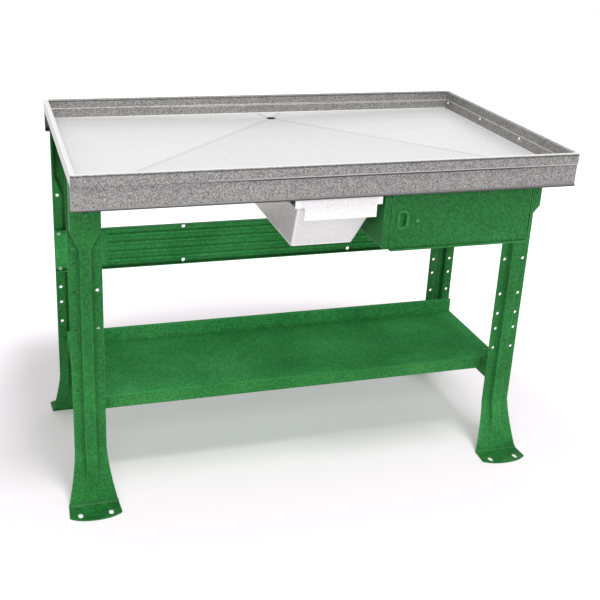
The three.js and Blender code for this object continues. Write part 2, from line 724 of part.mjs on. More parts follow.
function legGeometry() {
  const half = LEG_WIDTH / 2;
  const ridgeFoot = RIDGE_WIDTH / 2;
  const ridgeCrest = ridgeFoot - RIDGE_WALL_LEAN;
  const headCrest = HEAD_WIDTH / 2;
  const headFoot = headCrest + LEG_SHEET / 4;
  const stations = [
    legStation(LEG_TOP, half, 0, HEAD_DEPTH, headFoot, headCrest),
    legStation(HEAD_BOTTOM, half, 0, HEAD_DEPTH, headFoot, headCrest),
    legStation(HAT_TOP, half, 0, RIDGE_HEIGHT, ridgeFoot, ridgeCrest),
    legStation(KNEE_HEIGHT, half, 0, RIDGE_HEIGHT, ridgeFoot, ridgeCrest),
  ];
  const flare = FOOT_WIDTH / 2 - half;
  const footAt = (z) => {
    const share = (KNEE_HEIGHT - z) / KNEE_HEIGHT;
    const fade = THREE.MathUtils.smoothstep(z, RIDGE_FADE_BOTTOM, RIDGE_FADE_TOP);
    const widen = flare * share ** FLARE_POWER_SHARE;
    const spread = widen * (1 - fade);
    const base = FOOT_LEAN * share;
    const height = RIDGE_HEIGHT * fade;
    return legStation(z, half + widen, base, height, ridgeFoot + spread / 2, ridgeCrest + spread / 4);
  };
  FOOT_STATION_SHARES.forEach((share) => stations.push(footAt(KNEE_HEIGHT * (1 - share))));
  stations.push(footAt(ANKLE_HEIGHT));
  const wide = TOE_WIDTH / 2;
  const toeFoot = ridgeFoot + flare / 2;
  const toeCrest = ridgeCrest + flare / 4;
  const toe = (halfWidth, base, z, extra) => legStation(z, halfWidth, base, 0, toeFoot, toeCrest, extra);
  const bowAt = (u) => TOE_BOW * (1 - (u / wide) ** 2);
  const bend = { drop: LEG_SHEET + ANKLE_BEND };
  stations.push(toe(FOOT_WIDTH / 2, FOOT_LEAN - ANKLE_BEND / 2, LEG_SHEET + ANKLE_BEND, bend));
  stations.push(toe(FOOT_WIDTH / 2, FOOT_LEAN + ANKLE_BEND, LEG_SHEET, { drop: LEG_SHEET }));
  stations.push(toe(wide, FOOT_LEAN + TOE_END_LENGTH - TOE_CORNER, LEG_SHEET, {
    drop: LEG_SHEET,
    midBow: bowAt((wide + toeFoot) / 2) / 2,
    footBow: bowAt(toeFoot) / 2,
    crestBow: bowAt(toeCrest) / 2,
    middleBow: TOE_BOW / 2,
  }));
  stations.push(toe(wide - TOE_CORNER, FOOT_LEAN + TOE_END_LENGTH, LEG_SHEET, {
    drop: LEG_SHEET,
    midBow: bowAt((wide + toeFoot) / 2),
    footBow: bowAt(toeFoot),
    crestBow: bowAt(toeCrest),
    middleBow: TOE_BOW,
  }));
  const place = (point, z) => new THREE.Vector3(point.x, -point.y, z);
  const outer = stations.map((station) => legSection(station).map((point) => place(point, station.z)));
  const inner = stations.map((station) => {
    const line = legSection(station);
    if (station.drop > 0) {
      const back = new THREE.Vector2(0, station.drop > LEG_SHEET ? LEG_SHEET / 2 : 0);
      return line.map((point) => place(point.clone().sub(back), station.z - station.drop));
    }
    return offsetLine(line, -LEG_SHEET).map((point) => place(point, station.z));
  });
  const holes = [];
  const through = HEAD_DEPTH + FOOT_LEAN;
  [-1, 1].forEach((side) => {
    LEG_HOLE_HEIGHTS.forEach((z) => {
      const start = new THREE.Vector3(side * LEG_HOLE_SPREAD, -CUT_MARGIN, z);
      holes.push(bar(LEG_HOLE_RADIUS, HOLE_SIDES, start, LEG_SHEET + 2 * CUT_MARGIN, AXIS_Y));
    });
    const slot = stadium(TOE_SLOT_WIDTH, TOE_SLOT_LENGTH, side * TOE_SLOT_SPREAD, TOE_SLOT_REACH);
    const cutter = new THREE.ExtrudeGeometry(new THREE.Shape(slot), {
      depth: LEG_SHEET + 2 * CUT_MARGIN,
      bevelEnabled: false,
    });
    holes.push(cutter.rotateX(Math.PI).translate(0, 0, LEG_SHEET + CUT_MARGIN));
  });
  const boltStart = new THREE.Vector3(0, -through, HEAD_BOLT_HEIGHT);
  holes.push(bar(BOLT_RADIUS + BOLT_HOLE_CLEARANCE, HOLE_SIDES, boltStart, through, AXIS_Y));
  return cut(sheetBody(outer, inner), holes);
}

function placedLeg(geometry, sideX, sideY) {
  const matrix = new THREE.Matrix4();
  if (sideY > 0) {
    matrix.makeRotationZ(Math.PI);
  }
  matrix.setPosition(sideX * LEG_X, BASE_SHIFT_Y + sideY * LEG_PLANE_REACH, 0);
  return copied(geometry, matrix);
}

// End channels: a web beside the tray's middle, flanges turned out, bolting tabs at both ends
function endChannel(side) {
  const webX = LEG_X - HEAD_WIDTH / 2 + LEG_SHEET + SEAT_GAP;
  const bottom = LEG_TOP - END_CHANNEL_HEIGHT;
  const reach = HEAD_BACK_FACE_REACH - SEAT_GAP;
  const from = BASE_SHIFT_Y - reach;
  const to = BASE_SHIFT_Y + reach;
  const corners = [
    [webX + END_CHANNEL_WIDTH, bottom],
    [webX, bottom],
    [webX, LEG_TOP],
    [webX + END_CHANNEL_WIDTH, LEG_TOP],
  ];
  const channel = folded(corners, -CHANNEL_SHEET, END_CHANNEL_BEND, from, to, 'y');
  const tabBottom = (bottom + LEG_TOP - END_CHANNEL_TAB_HEIGHT) / 2;
  const tabs = [[from, from + CHANNEL_SHEET], [to - CHANNEL_SHEET, to]].map(([y0, y1]) => box(
    webX,
    webX + END_CHANNEL_TAB_WIDTH,
    y0,
    y1,
    tabBottom,
    tabBottom + END_CHANNEL_TAB_HEIGHT,
  ));
  const start = new THREE.Vector3(LEG_X, from - CUT_MARGIN, HEAD_BOLT_HEIGHT);
  const length = to - from + 2 * CUT_MARGIN;
  const drill = bar(BOLT_RADIUS + BOLT_HOLE_CLEARANCE, HOLE_SIDES, start, length, AXIS_Y);
  const whole = cut(joined([channel, ...tabs]), [drill]);
  return side > 0 ? whole : mirroredX(whole);
}

function crossRail(middleY) {
  const webX = LEG_X - HEAD_WIDTH / 2 + LEG_SHEET + SEAT_GAP;
  const reach = webX - SEAT_GAP;
  const top = CROSS_RAIL_BOTTOM + CROSS_RAIL_HEIGHT;
  const front = middleY - CROSS_RAIL_WIDTH / 2;
  const back = middleY + CROSS_RAIL_WIDTH / 2;
  const corners = [[back, CROSS_RAIL_BOTTOM], [front, CROSS_RAIL_BOTTOM], [front, top], [back, top]];
  return folded(corners, -CHANNEL_SHEET, END_CHANNEL_BEND, -reach, reach, 'x');
}

// Back stringer: turned edges, and pressed ribs that fade out before the legs
function stringerLine(ribDepth) {
  const back = STRINGER_BACK_Y;
  const edge = back - STRINGER_FLANGE;
  const turn = (points) => withBends(points.map(([u, v]) => new THREE.Vector2(u, v)), STRINGER_BEND);
  const firstRib = STRINGER_TOP - STRINGER_RIB_DROPS[0];
  const lastRib = STRINGER_TOP - STRINGER_RIB_DROPS[STRINGER_RIB_DROPS.length - 1];
  const upper = turn([[edge, STRINGER_TOP], [back, STRINGER_TOP], [back, firstRib]]).slice(0, -1);
  const lower = turn([[back, lastRib], [back, STRINGER_BOTTOM], [edge, STRINGER_BOTTOM]]).slice(1);
  const ribs = STRINGER_RIB_DROPS.flatMap((drop) => {
    const z = STRINGER_TOP - drop;
    return [
      new THREE.Vector2(back, z + STRINGER_RIB_WIDTH / 2),
      new THREE.Vector2(back - ribDepth, z + STRINGER_RIB_CREST / 2),
      new THREE.Vector2(back - ribDepth, z - STRINGER_RIB_CREST / 2),
      new THREE.Vector2(back, z - STRINGER_RIB_WIDTH / 2),
    ];
  });
  return upper.concat(ribs, lower);
}

function stringer() {
  const back = STRINGER_BACK_Y;
  const reach = TRAY_END_X - STRINGER_END_INSET;
  const ribEnd = TRAY_END_X - STRINGER_RIB_END_INSET;
  const ribFull = ribEnd - STRINGER_RIB_FADE;
  const stations = [
    [-reach, 0],
    [-ribEnd, 0],
    [-ribFull, STRINGER_RIB_DEPTH],
    [ribFull, STRINGER_RIB_DEPTH],
    [ribEnd, 0],
    [reach, 0],
  ];
  const row = (line, x) => line.map((point) => new THREE.Vector3(x, point.x, point.y));
  const outer = stations.map(([x, depth]) => row(stringerLine(depth), x));
  const inner = stations.map(([x, depth]) => row(offsetLine(stringerLine(depth), -STRINGER_SHEET), x));
  const band = sheetBody(outer, inner);
  const holes = [];
  const length = STRINGER_FLANGE + 2 * CUT_MARGIN;
  [STRINGER_UPPER_BOLT_Z, STRINGER_LOWER_BOLT_Z].forEach((z) => {
    [-1, 1].forEach((side) => {
      const at = new THREE.Vector3(side * STRINGER_HOLE_X, back - STRINGER_FLANGE - CUT_MARGIN, z);
      holes.push(bar(STRINGER_HOLE_RADIUS, HOLE_SIDES, at, length, AXIS_Y));
      [-1, 1].forEach((column) => {
        const start = at.clone().setX(side * LEG_X + column * LEG_HOLE_SPREAD);
        holes.push(bar(LEG_HOLE_RADIUS, HOLE_SIDES, start, length, AXIS_Y));
      });
    });
  });
  return cut(band, holes);
}

// Lower shelf and its two carrying channels
function shelfHoles(bottom, top) {
  const holes = [];
  [-1, 1].forEach((side) => {
    [SHELF_FRONT_Y + SHELF_HOLE_FRONT_INSET, SHELF_BACK_Y - SHELF_HOLE_BACK_INSET].forEach((y) => {
      const x = side * (SHELF_REACH - SHELF_HOLE_END_INSET);
      const start = new THREE.Vector3(x, y, bottom - CUT_MARGIN);
      holes.push(bar(SHELF_HOLE_RADIUS, HOLE_SIDES, start, top - bottom + 2 * CUT_MARGIN, AXIS_Z));
    });
  });
  return holes;
}

function lowerShelf() {
  const frontBottom = SHELF_TOP - SHELF_FRONT_DROP;
  const backTop = SHELF_TOP + SHELF_BACK_RISE;
  const corners = [
    [SHELF_FRONT_Y + SHELF_FRONT_RETURN, frontBottom],
    [SHELF_FRONT_Y, frontBottom],
    [SHELF_FRONT_Y, SHELF_TOP],
    [SHELF_BACK_Y, SHELF_TOP],
    [SHELF_BACK_Y, backTop],
    [SHELF_BACK_Y + SHELF_BACK_HEM, backTop],
  ];
  const reach = SHELF_REACH;
  const sheet = folded(corners, -SHELF_SHEET, SHELF_BEND, -reach, reach, 'x');
  const notchFrom = SUPPORT_INNER_X - SHELF_NOTCH_CLEARANCE;
  const notches = [[-reach - CUT_MARGIN, -notchFrom], [notchFrom, reach + CUT_MARGIN]].map(([x0, x1]) => box(
    x0,
    x1,
    SHELF_FRONT_Y - CUT_MARGIN,
    SHELF_FRONT_Y + SHELF_FRONT_RETURN + CUT_MARGIN,
    frontBottom - CUT_MARGIN,
    SHELF_TOP - SHELF_SHEET,
  ));
  return cut(sheet, [...shelfHoles(SHELF_TOP - SHELF_SHEET, SHELF_TOP), ...notches]);
}

function shelfSupport(side) {
  const inner = SUPPORT_INNER_X;
  const bottom = SUPPORT_TOP - SUPPORT_HEIGHT;
  const reach = LEG_BACK_FACE_REACH - SEAT_GAP;
  const from = BASE_SHIFT_Y - reach;
  const to = BASE_SHIFT_Y + reach;
  const corners = [
    [inner + SUPPORT_FOOT_WIDTH, bottom],
    [inner, bottom],
    [inner, SUPPORT_TOP],
    [inner + SUPPORT_TOP_WIDTH, SUPPORT_TOP],
  ];
  const channel = folded(corners, -CHANNEL_SHEET, END_CHANNEL_BEND, from, to, 'y');
  const tabs = [[from, from + CHANNEL_SHEET], [to - CHANNEL_SHEET, to]].map(([y0, y1]) => (
    box(inner, inner + SUPPORT_TAB_WIDTH, y0, y1, bottom, SUPPORT_TOP)
  ));
  const whole = cut(joined([channel, ...tabs]), shelfHoles(SUPPORT_TOP - SUPPORT_HEIGHT / 2, SUPPORT_TOP));
  return side > 0 ? whole : mirroredX(whole);
}

// Drain pan with its rim, and the front plate that serves as its handle
function panLoop(halfWidth, front, back, z, radius) {
  const flat = roundedLoop(halfWidth, (back - front) / 2, radius, [1, 1, 1, 1]);
  return flat.map((point) => new THREE.Vector3(point.x, point.y + (front + back) / 2, z));
}

function drainPan() {
  const mouth = PAN_MOUTH_WIDTH / 2;
  const floor = PAN_FLOOR_WIDTH / 2;
  const rim = mouth + PAN_RIM_WIDTH;
  const front = PAN_FRONT_Y;
  const back = PAN_BACK_Y;
  const sheet = PAN_SHEET;
  const radius = PAN_CORNER_RADIUS;
  const rimFront = front - PAN_RIM_WIDTH + sheet / 2;
  const rimBack = back + PAN_RIM_WIDTH;
  const floorFront = PAN_FLOOR_FRONT_Y;
  const floorBack = PAN_FLOOR_BACK_Y;
  const basin = cupBody([
    panLoop(floor, floorFront, floorBack, PAN_BOTTOM, radius),
    panLoop(mouth, front, back, PAN_RIM_UNDER, radius),
    panLoop(rim, rimFront, rimBack, PAN_RIM_UNDER, radius),
    panLoop(rim, rimFront, rimBack, PAN_RIM_TOP, radius),
    panLoop(mouth - sheet, front + sheet, back - sheet, PAN_RIM_TOP, radius - sheet),
    panLoop(floor - sheet, floorFront + sheet, floorBack - sheet, PAN_BOTTOM + sheet, radius - sheet),
  ]);
  const left = -PAN_PLATE_LEFT_REACH;
  const right = PAN_PLATE_RIGHT_REACH;
  const outline = [
    [-PAN_PLATE_TOP_REACH, PAN_PLATE_TOP],
    [-PAN_PLATE_TOP_REACH, PAN_PLATE_STEP],
    [left, PAN_PLATE_STEP],
    [left, PAN_PLATE_BOTTOM],
    [right, PAN_PLATE_BOTTOM],
    [right, PAN_PLATE_STEP],
    [PAN_PLATE_TOP_REACH, PAN_PLATE_STEP],
    [PAN_PLATE_TOP_REACH, PAN_PLATE_TOP],
  ].map(([u, v]) => new THREE.Vector2(u, v));
  const plate = extruded(outline, PAN_PLATE_Y, PAN_PLATE_Y + sheet, 'y');
  const hemEnd = PAN_PLATE_BOTTOM + sheet;
  const hem = box(left, right, PAN_PLATE_Y, PAN_PLATE_Y + PAN_PLATE_HEM, PAN_PLATE_BOTTOM, hemEnd);
  return joined([basin, plate, hem]);
}

function panRail(side) {
  const web = PAN_RAIL_REACH;
  const inner = web - PAN_RAIL_FLANGE;
  const corners = [
    [inner, PAN_RAIL_BOTTOM],
    [web, PAN_RAIL_BOTTOM],
    [web, HANGING_TOP],
    [inner, HANGING_TOP],
  ];
  const rail = folded(corners, PAN_RAIL_SHEET, PAN_RAIL_BEND, PAN_RAIL_FRONT_Y, PAN_RAIL_BACK_Y, 'y');
  return side > 0 ? rail : mirroredX(rail);
}

// Drawer cabinet: a folded shell with a back plate and front flanges
function drawerCabinet() {
  const left = CABINET_LEFT_X;
  const right = CABINET_RIGHT_X;
  const sheet = CABINET_SHEET;
  const corners = [
    [left + CABINET_TOP_FLANGE, HANGING_TOP],
    [left, HANGING_TOP],
    [left, CABINET_BOTTOM],
    [right, CABINET_BOTTOM],
    [right, HANGING_TOP],
    [right - CABINET_TOP_FLANGE, HANGING_TOP],
  ];
  const shell = folded(corners, sheet, CABINET_BEND, CABINET_FRONT_Y, CABINET_BACK_Y, 'y');
  const middle = sheet / 2;
  const back = box(
    left + middle,
    right - middle,
    CABINET_BACK_Y - sheet,
    CABINET_BACK_Y,
    CABINET_BOTTOM + middle,
    HANGING_TOP - middle,
  );
  const flange = box(
    left,
    left + CABINET_FRONT_FLANGE,
    CABINET_FRONT_Y,
    CABINET_FRONT_Y + sheet,
    CABINET_BOTTOM + CABINET_BEND,
    HANGING_TOP - CABINET_BEND,
  );
  const mouth = box(
    left + CABINET_FRONT_FLANGE,
    right - sheet,
    CABINET_FRONT_Y - CUT_MARGIN,
    CABINET_FRONT_Y + CABINET_FLOOR_SETBACK,
    CABINET_BOTTOM - CUT_MARGIN,
    HANGING_TOP + CUT_MARGIN,
  );
  return cut(joined([shell, back, flange]), [mouth]);
}

// Drawer front: a pressed panel with edges turned back and in, and a lip along its bottom
function drawerFront() {
  const reachX = (DRAWER_FRONT_RIGHT_X - DRAWER_FRONT_LEFT_X) / 2;
  const reachZ = (DRAWER_FRONT_TOP - DRAWER_FRONT_BOTTOM) / 2;
  const middleX = (DRAWER_FRONT_RIGHT_X + DRAWER_FRONT_LEFT_X) / 2;
  const middleZ = (DRAWER_FRONT_TOP + DRAWER_FRONT_BOTTOM) / 2;
  const sheet = DRAWER_FRONT_SHEET;
  const faceY = DRAWER_FRONT_Y;
  const backY = DRAWER_FRONT_Y + DRAWER_FRONT_DEPTH;
  const loop = (inset, y, radius) => roundedLoop(reachX - inset, reachZ - inset, radius, [1, 1, 1, 1])
    .map((point) => new THREE.Vector3(middleX + point.x, y, middleZ + point.y));
  const panel = cupBody([
    loop(DRAWER_FRONT_EDGE, faceY, DRAWER_FRONT_CORNER),
    loop(0, faceY + DRAWER_FRONT_EDGE, DRAWER_FRONT_CORNER),
    loop(0, backY, DRAWER_FRONT_CORNER),
    loop(DRAWER_FRONT_RETURN, backY, DRAWER_FRONT_CORNER - sheet),
    loop(DRAWER_FRONT_RETURN, backY - sheet, DRAWER_FRONT_CORNER - sheet),
    loop(sheet, backY - sheet, DRAWER_FRONT_CORNER - sheet),
    loop(sheet, faceY + DRAWER_FRONT_EDGE, DRAWER_FRONT_CORNER - sheet),
    loop(sheet + DRAWER_FRONT_EDGE, faceY + sheet, DRAWER_FRONT_CORNER - sheet),
  ]);
  const lip = box(
    DRAWER_FRONT_LEFT_X + DRAWER_FRONT_CORNER,
    DRAWER_FRONT_RIGHT_X - DRAWER_FRONT_CORNER,
    faceY - DRAWER_LIP_DEPTH,
    faceY + DRAWER_FRONT_EDGE + sheet,
    DRAWER_FRONT_BOTTOM,
    DRAWER_FRONT_BOTTOM + DRAWER_LIP_HEIGHT,
  );
  const cupWidth = PULL_WIDTH - 2 * PULL_RING + 2 * RUNNING_GAP;
  const cupHeight = PULL_HEIGHT - 2 * PULL_RING + 2 * RUNNING_GAP;
  const cupOutline = stadium(cupWidth, cupHeight, PULL_X, PULL_Z);
  const cup = extruded(cupOutline, faceY - CUT_MARGIN, faceY + sheet + CUT_MARGIN, 'y');
  const lockStart = new THREE.Vector3(LOCK_X, faceY - CUT_MARGIN, LOCK_Z);
  const lockRadius = LOCK_RADIUS - LOCK_PROUD + RUNNING_GAP;
  const lockHole = bar(lockRadius, HOLE_SIDES, lockStart, sheet + 2 * CUT_MARGIN, AXIS_Y);
  return cut(joined([panel, lip]), [cup, lockHole]);
}

function drawerBox() {
  const reachX = (DRAWER_BOX_RIGHT_X - DRAWER_BOX_LEFT_X) / 2;
  const middleX = (DRAWER_BOX_RIGHT_X + DRAWER_BOX_LEFT_X) / 2;
  const loop = (inset, z, radius) => panLoop(
    reachX - inset,
    DRAWER_BOX_FRONT_Y + inset,
    DRAWER_BOX_BACK_Y - inset,
    z,
    radius,
  );
  const sheet = DRAWER_BOX_SHEET;
  const corner = DRAWER_BOX_CORNER;
  const roll = 2 * sheet;
  const bowl = cupBody([
    loop(0, DRAWER_BOX_BOTTOM, corner),
    loop(0, DRAWER_BOX_TOP, corner),
    loop(roll, DRAWER_BOX_TOP, corner - sheet),
    loop(roll, DRAWER_BOX_TOP - DRAWER_BOX_RIM, corner - sheet),
    loop(sheet, DRAWER_BOX_TOP - DRAWER_BOX_RIM, corner - sheet),
    loop(sheet, DRAWER_BOX_BOTTOM + sheet, corner - sheet),
  ]);
  return moved(bowl, middleX, 0, 0);
}

function fixedRunner(x) {
  const half = RUNNER_WIDTH / 2;
  const corners = [
    [x - half / 2, RUNNER_BOTTOM],
    [x - half, RUNNER_BOTTOM],
    [x - half, RUNNER_TOP],
    [x + half, RUNNER_TOP],
    [x + half, RUNNER_BOTTOM],
    [x + half / 2, RUNNER_BOTTOM],
  ];
  return folded(corners, -RUNNER_SHEET, RUNNER_SHEET * 2, RUNNER_FRONT_Y, RUNNER_BACK_Y, 'y');
}

function movingSlide(x) {
  const half = RUNNER_WIDTH / 2 + RUNNING_GAP + RUNNER_SHEET;
  const corners = [
    [x - half, SLIDE_TOP - SLIDE_SKIRT],
    [x - half, SLIDE_TOP],
    [x + half, SLIDE_TOP],
    [x + half, SLIDE_TOP - SLIDE_SKIRT],
  ];
  return folded(corners, -RUNNER_SHEET, RUNNER_SHEET * 2, RUNNER_FRONT_Y, RUNNER_BACK_Y, 'y');
}

// Pull: a raised oblong ring with a recessed cup behind it
function drawerPull() {
  const ringBack = DRAWER_FRONT_Y - SEAT_GAP;
  const innerWidth = PULL_WIDTH - 2 * PULL_RING;
  const innerHeight = PULL_HEIGHT - 2 * PULL_RING;
  const cupBack = DRAWER_FRONT_Y + PULL_CUP_DEPTH;
  const ringOutline = stadium(PULL_WIDTH, PULL_HEIGHT, PULL_X, PULL_Z);
  const ring = extruded(ringOutline, ringBack - PULL_PROUD, ringBack, 'y');
  const cupOutline = stadium(innerWidth, innerHeight, PULL_X, PULL_Z);
  const cup = extruded(cupOutline, ringBack - PULL_PROUD / 2, cupBack, 'y');
  const hollow = extruded(
    stadium(innerWidth - 2 * PULL_CUP_WALL, innerHeight - 2 * PULL_CUP_WALL, PULL_X, PULL_Z),
    ringBack - PULL_PROUD - CUT_MARGIN,
    cupBack - PULL_CUP_WALL,
    'y',
  );
  return cut(joined([ring, cup]), [hollow]);
}

function drawerLock() {
  const faceBack = DRAWER_FRONT_Y - SEAT_GAP;
  const head = bar(
    LOCK_RADIUS,
    ROUND_SIDES,
    new THREE.Vector3(LOCK_X, faceBack - LOCK_PROUD, LOCK_Z),
    LOCK_PROUD,
    AXIS_Y,
  );
  const body = bar(
    LOCK_RADIUS - LOCK_PROUD,
    HOLE_SIDES,
    new THREE.Vector3(LOCK_X, faceBack - LOCK_PROUD / 2, LOCK_Z),
    LOCK_BODY_LENGTH,
    AXIS_Y,
  );
  return joined([head, body]);
}

// Bolts, each with its nut on the far side
function hexagon(across, start, length, axis) {
  return bar(across / 2 / Math.cos(Math.PI / HEX_SIDES), HEX_SIDES, start, length, axis);
}

function bolt(seat, direction, across, headHeight, radius, grip) {
  const axis = new THREE.Vector3(0, direction, 0);
  const overlap = headHeight / 2;
  const head = hexagon(across, seat.clone().addScaledVector(axis, -headHeight), headHeight, axis);
  const nut = hexagon(across, seat.clone().addScaledVector(axis, grip), headHeight, axis);
  const shankStart = seat.clone().addScaledVector(axis, -overlap);
  const shank = bar(radius, HOLE_SIDES, shankStart, overlap + grip + headHeight + BOLT_SHANK_SPARE, axis);
  return joined([head, shank, nut]);
}

function headBolts() {
  const grip = LEG_SHEET + CHANNEL_SHEET + 3 * SEAT_GAP;
  return [-1, 1].flatMap((sideX) => [-1, 1].map((sideY) => {
    const face = BASE_SHIFT_Y + sideY * (LEG_PLANE_REACH + HEAD_DEPTH + SEAT_GAP);
    const seat = new THREE.Vector3(sideX * LEG_X, face, HEAD_BOLT_HEIGHT);
    return bolt(seat, -sideY, BOLT_HEAD_ACROSS, BOLT_HEAD_HEIGHT, BOLT_RADIUS, grip);
  }));
}

function stringerBolts() {
  const face = STRINGER_BACK_Y - STRINGER_SHEET - SEAT_GAP;
  const grip = STRINGER_SHEET + LEG_SHEET + 3 * SEAT_GAP;
  const rows = [STRINGER_UPPER_BOLT_Z, STRINGER_LOWER_BOLT_Z];
  return rows.flatMap((z) => [-1, 1].flatMap((side) => [-1, 1].map((column) => {
    const seat = new THREE.Vector3(side * LEG_X + column * LEG_HOLE_SPREAD, face, z);
    return bolt(seat, 1, STRINGER_BOLT_ACROSS, STRINGER_BOLT_HEAD, STRINGER_BOLT_RADIUS, grip);
  })));
}

// Materials
const STAINLESS = { color: '#c4c2bd', roughness: 0.42, metalness: 0.9 };
const BAND_STEEL = { color: '#a6a19f', roughness: 0.5, metalness: 0.85 };
const PAN_STEEL = { color: '#d9d9d6', roughness: 0.4, metalness: 0.85 };
const GREEN = { color: '#2d7d3c', roughness: 0.38, metalness: 0.1 };
const ZINC = { color: '#b9bcc0', roughness: 0.4, metalness: 0.9 };

const group = new THREE.Group();
group.name = 'drain_workbench';

function put(name, geometry, finish) {
  const flat = geometry.index ? geometry.toNonIndexed() : geometry.clone();
  flat.deleteAttribute('normal');
  flat.deleteAttribute('uv');
  flat.computeVertexNormals();
  const mesh = new THREE.Mesh(flat, new THREE.MeshStandardMaterial(finish));
  mesh.name = name;
  group.add(mesh);
}

const leg = legGeometry();

put('tray_top', trayTop(), STAINLESS);
put('drain_spigot', drainSpigot(), STAINLESS);
put('apron_front', apron(-1), BAND_STEEL);
put('apron_back', apron(1), BAND_STEEL);
put('leg_front_left', placedLeg(leg, -1, -1), GREEN);
put('leg_front_right', placedLeg(leg, 1, -1), GREEN);
put('leg_rear_left', placedLeg(leg, -1, 1), GREEN);
put('leg_rear_right', placedLeg(leg, 1, 1), GREEN);
put('end_channel_left', endChannel(-1), GREEN);
put('end_channel_right', endChannel(1), GREEN);
put('cross_rail_front', crossRail(FRONT_PLANE_Y + FRONT_CROSS_RAIL_SETBACK), GREEN);
put('cross_rail_back', crossRail(REAR_PLANE_Y - BACK_CROSS_RAIL_SETBACK), GREEN);
put('stringer_back', stringer(), GREEN);
put('shelf_support_left', shelfSupport(-1), GREEN);
put('shelf_support_right', shelfSupport(1), GREEN);
put('lower_shelf', lowerShelf(), GREEN);
put('pan_rail_left', panRail(-1), GREEN);
put('pan_rail_right', panRail(1), GREEN);
put('drain_pan', drainPan(), PAN_STEEL);
put('drawer_cabinet', drawerCabinet(), GREEN);
put('drawer_runner_left', fixedRunner(RUNNER_X[0]), ZINC);
put('drawer_runner_right', fixedRunner(RUNNER_X[1]), ZINC);
put('drawer_slide_left', movingSlide(RUNNER_X[0]), ZINC);
put('drawer_slide_right', movingSlide(RUNNER_X[1]), ZINC);
put('drawer_box', drawerBox(), GREEN);
put('drawer_front', drawerFront(), GREEN);
put('drawer_pull', drawerPull(), GREEN);
put('drawer_lock', drawerLock(), ZINC);
headBolts().forEach((solid, i) => put(`head_bolt_${i + 1}`, solid, ZINC));
stringerBolts().forEach((solid, i) => put(`stringer_bolt_${i + 1}`, solid, ZINC));

export default group;
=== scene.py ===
import math
import bpy
import bmesh
from mathutils import Matrix, Vector


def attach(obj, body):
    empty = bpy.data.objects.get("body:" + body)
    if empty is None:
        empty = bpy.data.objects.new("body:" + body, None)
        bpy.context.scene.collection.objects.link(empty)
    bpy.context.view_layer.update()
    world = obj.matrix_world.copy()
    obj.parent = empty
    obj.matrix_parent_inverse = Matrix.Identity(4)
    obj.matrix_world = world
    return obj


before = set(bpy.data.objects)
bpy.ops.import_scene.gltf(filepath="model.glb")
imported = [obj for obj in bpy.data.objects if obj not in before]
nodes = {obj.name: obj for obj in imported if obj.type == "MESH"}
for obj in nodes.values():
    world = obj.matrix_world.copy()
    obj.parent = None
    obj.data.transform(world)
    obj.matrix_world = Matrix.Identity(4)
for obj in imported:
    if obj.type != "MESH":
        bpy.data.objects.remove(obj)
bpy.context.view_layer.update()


def box_of(name):
    """The low and the high corner of a piece at rest, in the frame."""
    points = [vertex.co for vertex in nodes[name].data.vertices]
    low = [min(point[axis] for point in points) for axis in range(3)]
    high = [max(point[axis] for point in points) for axis in range(3)]
    return low, high


# Colours

WHITE = (1.0, 1.0, 1.0)
FULL_PART = 255
SRGB_LINE_END = 0.04045
SRGB_LINE_SLOPE = 12.92
SRGB_CURVE_LIFT = 0.055
SRGB_CURVE_POWER = 2.4


def linear(part):
    """One part of an sRGB colour, from 0 to 255, as a linear value."""
    share = part / FULL_PART
    if share <= SRGB_LINE_END:
        return share / SRGB_LINE_SLOPE
    return ((share + SRGB_CURVE_LIFT) / (1.0 + SRGB_CURVE_LIFT)) ** SRGB_CURVE_POWER


def srgb(red, green, blue):
    return (linear(red), linear(green), linear(blue))


def rgba(colour):
    """A colour or one grey level, with full alpha."""
    parts = colour if isinstance(colour, tuple) else (colour, colour, colour)
    return (*parts, 1.0)


# Shader building

# The Mix node repeats its socket names, so its colour sockets are reached by number
MIX_INPUTS = (0, 6, 7)
MIX_RESULT = 2


